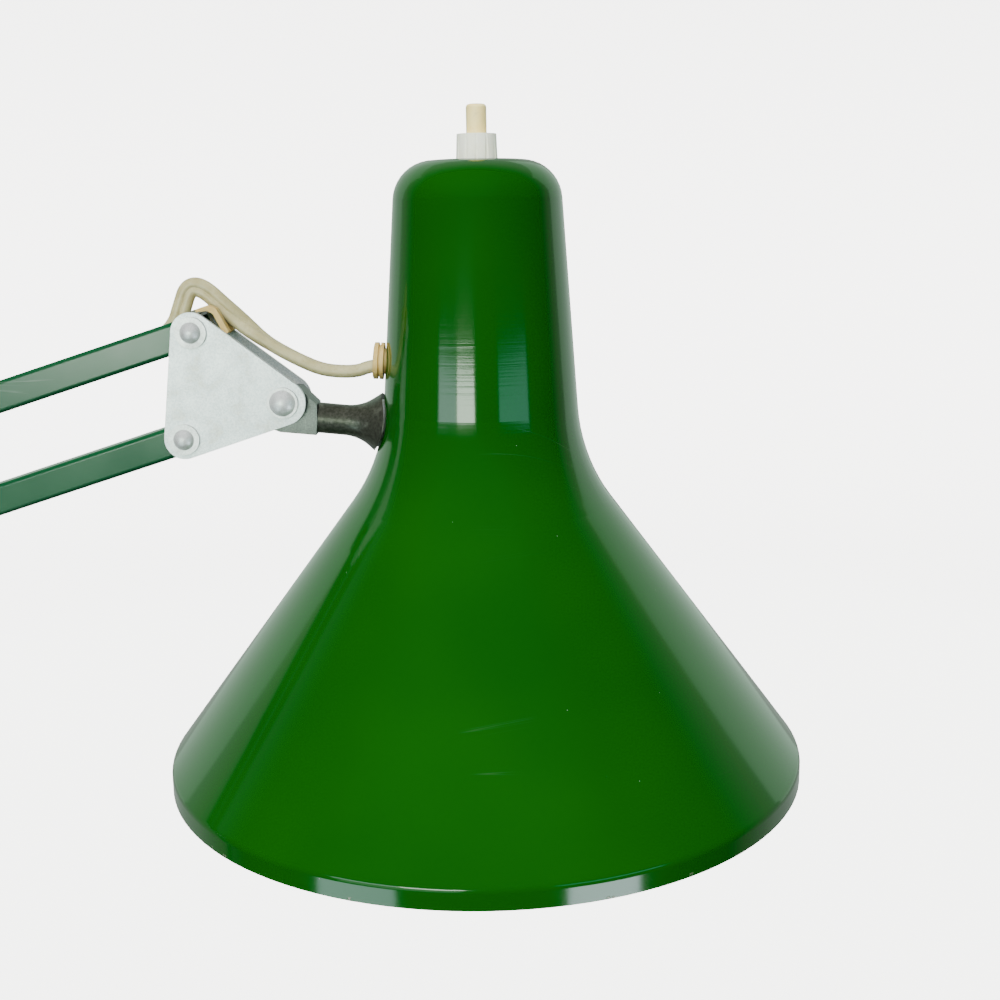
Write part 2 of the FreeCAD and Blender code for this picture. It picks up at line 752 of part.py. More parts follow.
def push_button():
    """Button with a retaining collar under the neck of the holder cap."""
    top = shade_top + button_above
    low = top - button_length
    corners = [(0, low), (button_radius, low), (button_radius, top), (0, top)]
    body = turned(corners, [0, 1.0], V(shade_x, 0, 0))
    seat = V(shade_x, 0, down(holder_neck) - button_collar_thickness - running)
    collar = Part.makeCylinder(button_collar_radius, button_collar_thickness, seat)
    return body.fuse(collar).removeSplitter()


def button_spring():
    """The button's return spring, as a sleeve of its outer size, on the insert."""
    low = down(insert_top)
    high = down(holder_neck) - button_collar_thickness - 2 * running
    outer = Part.makeCylinder(button_spring_radius, high - low, V(shade_x, 0, low))
    inner = button_spring_radius - button_spring_wire
    return outer.cut(Part.makeCylinder(inner, high - low, V(shade_x, 0, low)))


def holder_insert():
    """Insulating disc that holds the contacts."""
    low = down(insert_top + insert_thickness)
    return Part.makeCylinder(holder_radius - holder_wall, insert_thickness, V(shade_x, 0, low))


def holder_skirt():
    top = down(holder_cap_length)
    low = top - holder_skirt_length
    outer = Part.makeCylinder(holder_radius, top - low, V(shade_x, 0, low))
    return outer.cut(Part.makeCylinder(cap_radius + 0.8, top - low, V(shade_x, 0, low)))


def bulb_base_height():
    return rim_z + bulb_recess + bulb_glass_length


def bulb_body(inset):
    """Solid inside of the pear shape, inset from the glass's outer surface."""
    low, r = bulb_recess + inset, bulb_radius - inset
    middle = bulb_recess + bulb_radius
    neck, top = cap_radius - 1 - inset, bulb_recess + bulb_glass_length
    diagonal = r * math.sin(math.pi / 4)
    side = Part.BezierCurve()
    side.setPoles([V(r, 0, middle), V(r, 0, middle + 24), V(neck, 0, middle + 24), V(neck, 0, top)])
    end = Part.Arc(V(0, 0, low), V(diagonal, 0, middle - diagonal), V(r, 0, middle)).toShape()
    outline = Part.Wire([end, side.toShape(), Part.makeLine(V(neck, 0, top), V(0, 0, top)),
                         Part.makeLine(V(0, 0, top), V(0, 0, low))])
    return Part.Face(outline).revolve(V(0, 0, 0), V(0, 0, 1), 360)


def bulb_glass():
    """Pear shaped glass, hollow."""
    shell = bulb_body(0).cut(bulb_body(glass_wall))
    shell.translate(V(shade_x, 0, rim_z))
    return shell


def bulb_cap():
    """Thin screw cap of the bulb, closed round its centre contact."""
    low = bulb_base_height()
    high = low + cap_length
    wall, shoulder = cap_wall, cap_radius - 4
    corners = [(cap_radius - wall, low), (cap_radius, low), (cap_radius, high - 3), (shoulder, high),
               (cap_tip_radius, high), (cap_tip_radius, high + cap_tip), (0, high + cap_tip),
               (0, high - wall), (shoulder - wall, high - wall), (cap_radius - wall, high - 3 - wall)]
    return turned(corners, start=V(shade_x, 0, 0))


# ---- cord

def local(origin, points):
    return [at(beside(origin, *p)) for p in points]


def base_cord():
    """Under the weight, from the stem to the strain relief."""
    bottom = bush_bottom - stem_tail
    points = [V(0, 0, bottom), V(0, 0, bottom - 2.5), V(-4, 0, 6.2), V(-12, 0, 4.9), V(-26, 0, 5.2),
              V(-50, 0, 5.6), V(-72, 0, 6.6), V(-base_radius + 8, 0, relief_height)]
    return cord_tube(points, "base_cord")


def fork_cord():
    """Up the stem, between the lower tubes and into the rear one."""
    bottom = bush_bottom - stem_tail
    target = along(fork_rear, lower_cord_ends[0] - cord_gap, lower_arm_angle)
    points = [V(0, 0, bottom), V(0, 0, bottom + 24), V(-0.3, 0, block_bottom + block_height + 4)]
    points += local(fork_rear, [(14.6, -3), (12.6, 12), (6, 26), (-5.5, 38), (-18.4, 46.2),
                                (-26.2, 53.6)])
    points.append(at(target))
    return cord_tube(points, "fork_cord")


def lower_arm_cord():
    start = along(fork_rear, lower_cord_ends[0], lower_arm_angle)
    end = along(elbow_rear, -lower_cord_ends[1], lower_arm_angle)
    return cord_tube([at(start), at(end)], "lower_arm_cord")


def elbow_cord():
    """Loose loop round the back of the elbow, from the lower rear tube into the upper top tube."""
    start = along(elbow_rear, cord_gap - lower_cord_ends[1], lower_arm_angle)
    points = [at(start)]
    points += local(elbow_rear, [(14.6, -35.4), (1.6, -26), (-11, -13), (-18.5, 3), (-21.5, 21)])
    points += local(elbow_top, [(-41, 0), (-34, 15.5), (-21, 24.5), (-5, 27), (9, 21.5), (20.5, 12.8)])
    points.append(at(along(elbow_top, upper_cord_ends[0] - cord_gap, upper_arm_angle)))
    return cord_tube(points, "elbow_cord")


def upper_arm_cord():
    start = along(elbow_top, upper_cord_ends[0], upper_arm_angle)
    end = along(head_top, -upper_cord_ends[1], upper_arm_angle)
    return cord_tube([at(start), at(end)], "upper_arm_cord")


def head_cord():
    """Out of the tube by the top pivot, over the clip, along the bracket and into the neck."""
    points = [at(along(head_top, cord_gap - upper_cord_ends[1], upper_arm_angle))]
    points += local(head_top, [(-11.9, -2.6), (-6.5, 2.3), (-4.1, 8.9), (-1.1, 13.2), (3.8, 12.5),
                               (12.8, 4.3), (21.4, -2.8), (29.1, -8.5), (36.2, -11.8),
                               (41.8, -12.5), (47.0, -11.4)])
    start, run = grommet_seat()
    points += [start + run * (grommet_proud + 1.2), start - run * 4]
    points.append(V(shade_x - holder_radius - 1, 0, start.z + 0.6))
    return cord_tube(points, "head_cord")


def coil_outer():
    return coil_turn_radius + (coil_rows - 1) / 2 * cord_width


def lead():
    """Free cord on the table, from the strain relief to the coil's outer turn."""
    end, rest = -base_radius - relief_length, cord_thickness / 2
    return cord_tube([V(end, 0, relief_height), V(end - 11, -0.3, 4.6), V(end - 23, 1.5, 2.2),
                      V(end - 36, 6.0, rest),
                      V(coil_centre[0], coil_centre[1] - coil_outer(), rest)], "lead")


def lead_coil():
    """Outer shape of the neat coil of cord."""
    half = coil_rows * cord_width / 2
    centre = V(*coil_centre, 0)
    height = coil_layers * cord_width
    outer = Part.makeCylinder(coil_turn_radius + half, height, centre)
    hole = Part.makeCylinder(coil_turn_radius - half, height, centre)
    return outer.cut(hole)


def lead_tail():
    """Last of the cord, from the coil's top layer down to the plug."""
    rest, top = cord_thickness / 2, (coil_layers - 0.5) * cord_width
    x, y = coil_centre
    route = [(-coil_outer(), 0, top), (-coil_outer() - 1.5, 13, top - 2), (-34.5, 28, 12), (-22, 41, 6.5),
             (-7, 46, 2.6), (7, 44.5, rest), (19, 39.5, 3), (31, 36, 6.5)]
    return cord_tube([V(x + dx, y + dy, z) for dx, dy, z in route], "lead_tail")


def plug_body():
    """Flat two pin plug lying on the table, with its cord boot."""
    x, y = plug_centre
    corner = V(x + plug_ahead, y - plug_width / 2, 0)
    body = Part.makeBox(plug_body_length, plug_width, plug_thickness, corner)
    body = body.makeFillet(plug_corner, body.Edges)
    tip = V(x + plug_ahead + 1 - plug_boot_length, y, plug_thickness / 2)
    boot = Part.makeCone(*plug_boot_radii, plug_boot_length, tip, V(1, 0, 0))
    return body.fuse(boot).removeSplitter()


def plug_pins():
    face = plug_centre[0] + plug_ahead + plug_body_length
    return [Part.makeCylinder(plug_pin_radius, plug_pin_length,
                              V(face, plug_centre[1] + offset, plug_thickness / 2), V(1, 0, 0))
            for offset in (plug_pin_spacing / 2, -plug_pin_spacing / 2)]


# ---- all sub-parts

def build():
    fork_near, fork_far = fork_plates()
    elbow_near, elbow_far = elbow_plates()
    head_near, head_far = head_plates()
    return {
        "base_cover": base_cover(), "base_weight": base_weight(), "felt_pad": felt_pad(),
        "base_collar": base_collar(), "base_bush": base_bush(), "strain_relief": strain_relief(),
        "base_cord": base_cord(), "lead": lead(), "lead_coil": lead_coil(), "lead_tail": lead_tail(),
        "plug_body": plug_body(), "plug_pins": plug_pins(),
        "fork_stem": fork_stem(), "fork_plate_near": fork_near, "fork_plate_far": fork_far,
        "fork_rivets": [rivet(p) for p in fork_rivet_places()],
        "fork_pivot_pins": [rivet(fork_front), rivet(fork_rear)],
        "fork_washers": washer_pair(fork_front) + washer_pair(fork_rear),
        "fork_spring_studs": stud_pair(fork_stud), "stem_nut": stem_nut(), "fork_cord": fork_cord(),
        "lower_rear_tube": lower_rear_tube(), "lower_arm_cord": lower_arm_cord(),
        "lower_front_tube": lower_front_tube(), "lower_spring_bolt": spring_bolt(lower_bolt),
        "lower_springs": springs(fork_stud, lower_bolt),
        "lower_spring_hooks": spring_hooks(fork_stud, lower_bolt),
        "elbow_plate_near": elbow_near, "elbow_plate_far": elbow_far,
        "elbow_pivot_pins": [rivet(p) for p in elbow_pivots()],
        "elbow_washers": [w for p in elbow_pivots() for w in washer_pair(p)],
        "elbow_spring_studs": stud_pair(elbow_stud), "elbow_cord": elbow_cord(),
        "upper_top_tube": upper_top_tube(), "upper_arm_cord": upper_arm_cord(),
        "upper_bottom_tube": upper_bottom_tube(), "upper_spring_bolt": spring_bolt(upper_bolt),
        "upper_springs": springs(elbow_stud, upper_bolt),
        "upper_spring_hooks": spring_hooks(elbow_stud, upper_bolt),
        "head_plate_near": head_near, "head_plate_far": head_far,
        "head_pivot_pins": [rivet(head_top), rivet(head_low)], "nose_pivot_pin": rivet(nose, 3.75),
        "head_washers": washer_pair(head_top) + washer_pair(head_low) + washer_pair(nose),
        "cord_clip": cord_clip(), "head_cord": head_cord(),
        "knuckle": knuckle(), "ferrule": ferrule(), "swivel_washer": swivel_washer(),
        "spigot_nut": spigot_nut(),
        "shade": shade(), "grommet": grommet(), "holder_cap": holder_cap(), "switch_nut": switch_nut(),
        "push_button": push_button(), "button_spring": button_spring(), "holder_insert": holder_insert(),
        "holder_skirt": holder_skirt(), "bulb_glass": bulb_glass(), "bulb_cap": bulb_cap(),
    }


def main():
    os.makedirs("parts", exist_ok=True)
    for name, shape in build().items():
        shape = Part.makeCompound(shape) if isinstance(shape, list) else shape
        solids = shape.Solids
        if not shape.isValid() or not solids:
            print(f"NOT VALID: {name}")
        shape.exportStep(f"parts/{name}.step")
        print(f"{name}: {len(solids)} solid(s), volume {sum(s.Volume for s in solids):.0f}")
    print(f"pivots {fork_rear} {fork_front} {elbow_rear} {elbow_low} {elbow_top} {head_top} nose {nose}")
    print(f"shade axis x {shade_x:.2f}, rim z {rim_z:.2f}, neck at {neck_distance():.2f} along the swivel axis")


main()
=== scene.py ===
import bpy
import math
import numpy as np
from mathutils import Matrix, Vector


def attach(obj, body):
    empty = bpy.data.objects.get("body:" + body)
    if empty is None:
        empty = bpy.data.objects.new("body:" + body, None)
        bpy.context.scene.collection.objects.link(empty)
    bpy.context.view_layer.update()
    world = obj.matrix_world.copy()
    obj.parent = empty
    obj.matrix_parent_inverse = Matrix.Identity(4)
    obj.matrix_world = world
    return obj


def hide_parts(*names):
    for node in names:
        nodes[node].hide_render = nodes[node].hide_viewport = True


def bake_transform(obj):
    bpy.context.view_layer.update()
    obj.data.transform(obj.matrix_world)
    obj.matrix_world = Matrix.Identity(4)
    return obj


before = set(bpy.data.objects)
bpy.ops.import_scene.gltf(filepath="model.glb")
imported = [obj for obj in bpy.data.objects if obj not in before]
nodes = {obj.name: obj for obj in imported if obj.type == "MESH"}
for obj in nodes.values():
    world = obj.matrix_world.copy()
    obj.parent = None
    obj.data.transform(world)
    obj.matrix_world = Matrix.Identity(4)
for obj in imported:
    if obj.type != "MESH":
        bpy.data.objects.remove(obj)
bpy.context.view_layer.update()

mm = 0.001
print("swing arm lamp: frame loaded,", len(nodes), "nodes")


# camera, level with the head and a little above its rim

cameraFacts = {"place": (0.28304, -0.38471, 0.62034), "lens": 47.507, "pitch": 0.215, "roll": 0.014}


def makeCamera(facts):
    # right and up are turned by the roll about the forward direction, which dips by the pitch
    p, r = facts["pitch"], facts["roll"]
    forward = Vector((0, math.cos(p), -math.sin(p)))
    level = Vector((0, math.sin(p), math.cos(p)))
    right = Vector((1, 0, 0)) * math.cos(r) - level * math.sin(r)
    up = Vector((1, 0, 0)) * math.sin(r) + level * math.cos(r)
    data = bpy.data.cameras.new("benchCamera")
    data.lens = facts["lens"]
    data.sensor_width = 36
    data.clip_start = 0.01
    data.dof.use_dof = False
    camera = bpy.data.objects.new("benchCamera", data)
    bpy.context.scene.collection.objects.link(camera)
    rows = [list(row) for row in zip(right, up, -forward)]
    camera.matrix_world = Matrix.Translation(facts["place"]) @ Matrix(rows).to_4x4()
    bpy.context.scene.camera = camera


makeCamera(cameraFacts)


# surfaces from arrays

def putMesh(name, points, faces, uv=None, sharp=40):
    # points is (n, 3) in metres, faces a list of corner lists, uv one (n, 2) pair per point
    mesh = bpy.data.meshes.new(name)
    mesh.from_pydata(points.tolist(), [], faces)
    mesh.polygons.foreach_set("use_smooth", np.ones(len(mesh.polygons), dtype=bool))
    if uv is not None:
        corners = np.empty(len(mesh.loops), dtype=np.int32)
        mesh.loops.foreach_get("vertex_index", corners)
        layer = mesh.uv_layers.new(name="alongAndRound")
        layer.data.foreach_set("uv", uv[corners].astype(np.float32).ravel())
    mesh.update()
    mesh.set_sharp_from_angle(angle=math.radians(sharp))
    piece = bpy.data.objects.new(name, mesh)
    bpy.context.scene.collection.objects.link(piece)
    return piece


def gridPiece(name, grid, lengths=None):
    # grid[i, j] is the point at step i along and step j round; rows are joined to the next, columns
    # wrap round, and each open end is closed by one face over its row
    rows, cols = grid.shape[:2]
    i, j = np.meshgrid(np.arange(rows - 1), np.arange(cols), indexing="ij")
    a, b = i * cols + j, i * cols + (j + 1) % cols
    faces = np.stack([a, b, b + cols, a + cols], axis=-1).reshape(-1, 4).tolist()
    faces.append(list(range(cols))[::-1])
    faces.append(list(range((rows - 1) * cols, rows * cols)))
    uv = None
    if lengths is not None:
        around = np.tile(np.arange(cols) / cols, (rows, 1))
        uv = np.stack([np.repeat(lengths[:, None], cols, axis=1), around], axis=-1).reshape(-1, 2)
    return putMesh(name, grid.reshape(-1, 3), faces, uv)


def easeBetween(run, low, high):
    # 0 up to low, 1 from high on, and a smooth step 3t^2 - 2t^3 between
    t = np.clip((run - low) / (high - low), 0, 1)
    return t * t * (3 - 2 * t)


def unit(vectors):
    return vectors / np.linalg.norm(vectors, axis=-1, keepdims=True)


def runLengths(path):
    # distance from the first point, summed along the points
    steps = np.linalg.norm(np.diff(path, axis=0), axis=1)
    return np.concatenate([[0.0], np.cumsum(steps)])


def splinePath(points, steps=10):
    # points of a smooth NURBS line of order 3 from the first control point to the last
    curve = bpy.data.curves.new("routeLine", "CURVE")
    curve.dimensions = "3D"
    curve.resolution_u = steps
    spline = curve.splines.new("NURBS")
    spline.points.add(len(points) - 1)
    spline.points.foreach_set("co", np.column_stack([points, np.ones(len(points))]).ravel())
    spline.order_u = 3
    spline.use_endpoint_u = True
    holder = bpy.data.objects.new("routeLine", curve)
    bpy.context.scene.collection.objects.link(holder)
    line = bpy.data.meshes.new_from_object(holder)
    path = np.empty(len(line.vertices) * 3)
    line.vertices.foreach_get("co", path)
    bpy.data.objects.remove(holder)
    bpy.data.curves.remove(curve)
    bpy.data.meshes.remove(line)
    path = path.reshape(-1, 3)
    keep = np.concatenate([[True], np.linalg.norm(np.diff(path, axis=0), axis=1) > 1e-7])
    return path[keep]


def carry(path, section, wide):
    # section (x, y) carried along path: point = path + x * wide side + y * the side across it,
    # where wide is made square to the path's direction at each step
    along = unit(np.gradient(path, axis=0))
    side = unit(wide - along * np.sum(wide * along, axis=1, keepdims=True))
    across = np.cross(along, side)
    across, side = across[:, None, :], side[:, None, :]
    return path[:, None, :] + section[None, :, :1] * side + section[None, :, 1:] * across


def twinSection(facts, count=28):
    # outline of two round cores side by side: from the middle, the far wall of a circle of radius R
    # whose centre is c to one side lies at c*|cos a| + sqrt(R^2 - (c*sin a)^2)
    a = np.linspace(0, 2 * math.pi, count, endpoint=False)
    core, offset = facts["thick"] / 2, (facts["wide"] - facts["thick"]) / 2
    reach = offset * np.abs(np.cos(a)) + np.sqrt(core ** 2 - (offset * np.sin(a)) ** 2)
    return np.column_stack([reach * np.cos(a), reach * np.sin(a)]) * mm


def roundSection(radius, count):
    a = np.linspace(0, 2 * math.pi, count, endpoint=False)
    return np.column_stack([np.cos(a), np.sin(a)]) * radius * mm


# pivots and route points, in millimetres, in the plane of the arms

def onArm(start, distance, lean):
    return start + distance * np.array([math.cos(lean), math.sin(lean)])


forkRear, forkFront = np.array([-15.5, 79.8]), np.array([15.5, 79.8])
lowerLean, elbowLean, upperLean = math.radians(118), math.radians(83), math.radians(17.5)
elbowRear = onArm(forkRear, 380, lowerLean)
elbowLow = elbowRear + np.array([18.5, 26])
elbowTop = onArm(elbowLow, 31, elbowLean)
headTop = onArm(elbowTop, 385, upperLean)
nosePivot = headTop + np.array([25.2, -20.5])
shadeAxis, rimHeight = nosePivot[0] + 57.1, nosePivot[1] - 5.4 - 106.4
shadeTop = rimHeight + 179.2


def inPlane(*parts, y=0.0):
    # (x, z) pairs laid in the plane of the arms, in metres
    flat = np.vstack([np.atleast_2d(p) for p in parts])
    return np.column_stack([flat[:, 0], np.full(len(flat), y), flat[:, 1]]) * mm


# free lead: out of the base, into a neat coil, then down to its plug

leadFacts = {"wide": 5.6, "thick": 3.6, "exit": (-0.127, 0, 0.007), "length": 1.81,
             "coilMiddle": (-176.0, 44.0), "rows": (34.8, 29.2), "layer": 5.6, "pointsPerTurn": 16,
             "inside": 0.9904, "flatUntil": 0.035, "turnOver": 0.03, "flatFrom": 0.06,
             "flatOver": 0.04}
# inside is the radius of the smooth line for points set at radius 1; the flats are lengths in
# metres, from the base and back from the plug, on which the lead lies on its wide side before it
# turns on edge

leadRun = np.array([(-127, 0, 7), (-138, -0.3, 4.6), (-150, 1.5, 2.2), (-163, 6, 1.9)])
tailRun = np.array([(-36.3, 13, 17.6), (-34.5, 28, 12), (-22, 41, 6.5), (-7, 46, 2.6),
                    (7, 44.5, 1.9), (19, 39.5, 3), (31, 36, 6.5)])


def coilPoints(facts):
    # eight and a quarter turns seen from above, clockwise from the south point: the radius swings
    # between the outer and the inner row once a turn, and each pair of turns lies on the pair below
    per = facts["pointsPerTurn"]
    turns = np.arange(0.5 / per, 8.25 + 1e-6, 1 / per)
    outer, inner = facts["rows"]
    nth = np.floor(turns).astype(int)
    change = easeBetween(turns - nth, 0.72, 1)
    rowOf, layerOf = np.array([(0, 1, 1, 0, 0, 1, 1, 0, 0, 0), (0, 0, 1, 1, 2, 2, 3, 3, 3, 3)])
    row = rowOf[nth] * (1 - change) + rowOf[nth + 1] * change
    layer = layerOf[nth] * (1 - change) + layerOf[nth + 1] * change
    radius = (outer + (inner - outer) * row) / facts["inside"]
    angle = -math.pi / 2 - turns * 2 * math.pi
    x = facts["coilMiddle"][0] + radius * np.cos(angle)
    y = facts["coilMiddle"][1] + radius * np.sin(angle)
    return np.column_stack([x, y, 2.8 + facts["layer"] * layer])


def leadPiece(facts):
    coil = coilPoints(facts)
    middle = np.array([*facts["coilMiddle"], 0])
    start = middle + (5, 0.1 - facts["rows"][0], 2.5)
    path = splinePath(np.vstack([leadRun, start, coil, tailRun + middle]) * mm, 6)
    along = unit(np.gradient(path, axis=0))
    level = unit(np.cross(along, np.array([0, 0, 1.0])))
    upward = np.cross(level, along)
    run = runLengths(path)
    rise = np.clip((run - facts["flatUntil"]) / facts["turnOver"], 0, 1)
    fall = np.clip((run[-1] - facts["flatFrom"] - run) / facts["flatOver"], 0, 1)
    turn = rise * fall * math.pi / 2
    wide = level * np.cos(turn)[:, None] + upward * np.sin(turn)[:, None]
    piece = gridPiece("leadCord", carry(path, twinSection(facts, 20), wide), run)
    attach(piece, "base")
    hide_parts("lead", "lead_coil", "lead_tail")
    return piece, path


leadCord, leadPath = leadPiece(leadFacts)
print("lead:", round(float(runLengths(leadPath)[-1]), 3), "m, ends at",
      (leadPath[-1] * 1000).round(1))


# moulded plug on the end of the lead

plugFacts = {"start": -101.4, "y": 80.0, "z": 6.5, "halfWide": 12.9, "halfThick": 6.4, "boot": 5.4,
             "bootTaper": 2.1, "square": 4.5, "ringGap": 3.4, "gripGap": 2.6, "groove": 0.35,
             "count": 32}


def plugPiece(facts):
    # superellipse |y/w|^n + |z/t|^n = 1 carried back from the pin face, where w, t and n pass from
    # a broad flat body to a round boot; the boot has shallow rings, a sine of the distance
    s = np.concatenate([[0, 0.25, 0.9], np.linspace(2, 24.5, 24), np.linspace(25.2, 43.6, 64)])
    edge = np.clip(s / 2.5, 0, 1)
    shrink = 0.94 + 0.06 * np.sqrt(1 - (1 - edge) ** 2)
    waist = easeBetween(s, 12, 26)
    rings = np.clip(np.sin((s - 27) * 2 * math.pi / facts["ringGap"]) * 3, -1, 1)
    rings = facts["groove"] * rings * (s > 27) * (s < 42.5)
    grip = np.clip(np.sin((s - 6) * 2 * math.pi / facts["gripGap"]) * 3, -1, 0)
    grip = facts["groove"] * grip * (s > 6) * (s < 20)
    boot = facts["boot"] - facts["bootTaper"] * np.clip((s - 26) / 17.6, 0, 1) + rings
    half = (facts["halfWide"] + grip) * shrink * (1 - waist) + boot * waist
    thick = facts["halfThick"] * shrink * (1 - waist) + boot * waist
    power = facts["square"] * (1 - waist) + 2.0 * waist
    a = np.linspace(0, 2 * math.pi, facts["count"], endpoint=False)[None, :]
    cosine, sine = np.cos(a), np.sin(a)
    y = half[:, None] * np.sign(cosine) * np.abs(cosine) ** (2 / power[:, None])
    z = thick[:, None] * np.sign(sine) * np.abs(sine) ** (2 / power[:, None])
    x = np.repeat((facts["start"] - s)[:, None], facts["count"], axis=1)
    grid = np.stack([x, facts["y"] + y, facts["z"] + z], axis=-1) * mm
    piece = gridPiece("plugMoulding", grid[:, ::-1])
    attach(piece, "base")
    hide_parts("plug_body")
    return piece


plugMoulding = plugPiece(plugFacts)


# flex loops over the joints, each held at both ends, in lengths that meet end to end

def flexLength(name, path, wide, first, last, node):
    # the part of the loop between two fractions of its length
    run = runLengths(path)
    low, high = np.searchsorted(run, (first * run[-1] - 1e-9, last * run[-1] - 1e-9))
    pick = slice(low, high + 1)
    piece = gridPiece(name, carry(path, twinSection(leadFacts, 24), wide)[pick], run[pick])
    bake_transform(piece)
    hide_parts(node)
    return piece


def turnedWide(path, turns):
    # the wide side turned about the path from lying across the arms' plane (0) to lying in it (1)
    along = unit(np.gradient(path, axis=0))
    across = np.tile(np.array([0, 1.0, 0]), (len(path), 1))
    inside = np.cross(along, across)
    angle = turns * math.pi / 2
    return across * np.cos(angle)[:, None] + inside * np.sin(angle)[:, None]


def forkLoop():
    # keeps close to the rear tube, so that the front tube clears it when the arm is let down
    offsets = np.array([(14.6, -3), (6, 8.9), (-1.4, 21.9), (-9, 34.8), (-16.5, 45.6),
                        (-26.2, 53.6)])
    points = inPlane([(0, 11), (0, 35), (-0.3, 63.8)], forkRear + offsets,
                     onArm(forkRear, 71, lowerLean))
    path = splinePath(points)
    wide = turnedWide(path, np.zeros(len(path)))
    flexLength("forkFlex", path, wide, 0, 1,
               "fork_cord")


def elbowLoop():
    low = np.array([(14.6, -35.4), (1.6, -26), (-11, -13), (-18.5, 3), (-21.5, 21)])
    high = np.array([(-41, 0), (-34, 15.5), (-21, 24.5), (-5, 27), (9, 21.5), (20.5, 12.8)])
    points = inPlane(onArm(elbowRear, -49, lowerLean), elbowRear + low, elbowTop + high,
                     onArm(elbowTop, 37, upperLean))
    path = splinePath(points)
    wide = turnedWide(path, np.zeros(len(path)))
    flexLength("elbowFlexLow", path, wide, 0, 0.5,
               "elbow_cord")
    flexLength("elbowFlexHigh", path, wide, 0.5, 1,
               "elbow_cord")


neckFacts = {"foot": 29.6, "top": 23.4, "footHeight": 93.5, "tall": 85.7, "grommetHeight": 122.7}


def headLoop(facts):
    # leaves the tube, doubles over the clip, lies along the bracket on its wide side, then turns a
    # quarter so that its thin side shows where it sags to the grommet
    offsets = np.array([(-11.9, -2.6), (-5.7, 1.1), (-3.5, 7.1), (-1.5, 12.5), (2.6, 12.5),
                        (8.5, 6.8), (14.3, 1.4), (19, -2.6), (24.1, -5.9), (29.8, -9),
                        (35.8, -11.7), (41.8, -12.5), (46.8, -12.3)])
    taper = (facts["foot"] - facts["top"]) / facts["tall"]
    neckRadius = facts["foot"] - taper * (facts["grommetHeight"] - facts["footHeight"])
    seat = np.array([shadeAxis - neckRadius, rimHeight + facts["grommetHeight"]])
    out = np.array([-1, taper]) / math.hypot(1, taper)
    points = inPlane(onArm(headTop, -19, upperLean), headTop + offsets, seat + out * 5.2 - (0, 1.9),
                     seat - out * 4, np.array([shadeAxis - 20, seat[1] + 0.6]))
    path = splinePath(points)
    run = runLengths(path) * 1000
    turns = easeBetween(run, 5, 17) * (1 - easeBetween(run, 37, 56))
    wide = turnedWide(path, turns)
    flexLength("headFlexHairpin", path, wide, 0, 0.42,
               "head_cord")
    flexLength("headFlexMiddle", path, wide, 0.42, 0.68,
               "head_cord")
    flexLength("headFlexEnd", path, wide, 0.68, 1,
               "head_cord")


forkLoop()
elbowLoop()
headLoop(neckFacts)
print("flex loops made")


# balance springs: one wire from eye to eye, wound close

springFacts = {"y": 16.0, "coil": 5.7, "wire": 1.6, "eye": 5.0, "leg": 9.0, "slack": 1.95,
               "pitch": 1.72, "round": 14, "sides": 8}


def springWire(stud, bolt, y, facts):
    # three joined lines in the frame (along, up, out): an eye as a circle, a short leg, and a helix
    # along = pitch*a/2pi, radius*cos a, radius*sin a, whose radius grows from the leg; corners are
    # eased by averaging neighbours
    stud, bolt = inPlane(stud, y=y)[0] * 1000, inPlane(bolt, y=y)[0] * 1000
    ahead = unit(bolt - stud)
    out = np.array([0, 1.0, 0])
    upward = np.cross(out, ahead)
    whole = np.linalg.norm(bolt - stud) - 2 * facts["slack"]
    eye, leg = facts["eye"], facts["leg"]
    a = np.linspace(math.radians(12), math.radians(350), 54)
    ring = np.column_stack([eye * np.cos(a), eye * np.sin(a), 0 * a])[::-1]
    firstLeg = np.column_stack([np.linspace(eye + 0.6, leg - 0.8, 6), np.zeros(6), np.zeros(6)])
    turns = round((whole - 2 * leg) / facts["pitch"])
    t = np.linspace(0, 1, turns * facts["round"])
    grow = np.minimum(1, np.minimum(t, 1 - t) * turns / 0.6)
    grow = grow * (2 - grow)
    angle = t * turns * 2 * math.pi
    helix = np.column_stack([leg + t * (whole - 2 * leg), facts["coil"] * grow * np.cos(angle),
                             facts["coil"] * grow * np.sin(angle)])
    mirror = np.array([-1, 1, 1])
    line = np.vstack([ring, firstLeg, helix, (firstLeg * mirror + [whole, 0, 0])[::-1],
                      (ring * mirror + [whole, 0, 0])[::-1]])
    for _ in range(2):
        line[1:-1] = (line[:-2] + 2 * line[1:-1] + line[2:]) / 4
    start = stud + ahead * facts["slack"]
    return (start + line[:, :1] * ahead + line[:, 1:2] * upward + line[:, 2:] * out) * mm


def springPiece(name, stud, bolt, y, replaced, facts):
    path = springWire(stud, bolt, y, facts)
    along = unit(np.gradient(path, axis=0))
    start, end = inPlane(stud, y=y)[0], inPlane(bolt, y=y)[0]
    axis = unit(end - start)
    foot = start + ((path - start) @ axis)[:, None] * axis
    wide = np.cross(along, path - foot + 1e-5 * np.array([0.3, 1.0, 0.2]))
    wide[np.linalg.norm(wide, axis=1) < 1e-9] = (0, 1, 0)
    piece = gridPiece(name, carry(path, roundSection(facts["wire"] / 2, facts["sides"]), wide),
                      runLengths(path))
    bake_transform(piece)
    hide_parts(*replaced)


forkStud, lowerBolt = forkFront + (0, 12), onArm(forkFront, 150, lowerLean)
elbowStud, upperBolt = elbowLow + (0, 12), onArm(elbowLow, 125, upperLean)
for sideName, sideY in (("Far", springFacts["y"]), ("Near", -springFacts["y"])):
    springPiece("lowerSpring" + sideName, forkStud, lowerBolt, sideY,
                ("lower_springs", "lower_spring_hooks"),
                springFacts)
    springPiece("upperSpring" + sideName, elbowStud, upperBolt, sideY,
                ("upper_springs", "upper_spring_hooks"),
                springFacts)

returnFacts = {"radius": 4.1, "wire": 0.9, "turns": 7, "low": 27.1, "high": 10.7}


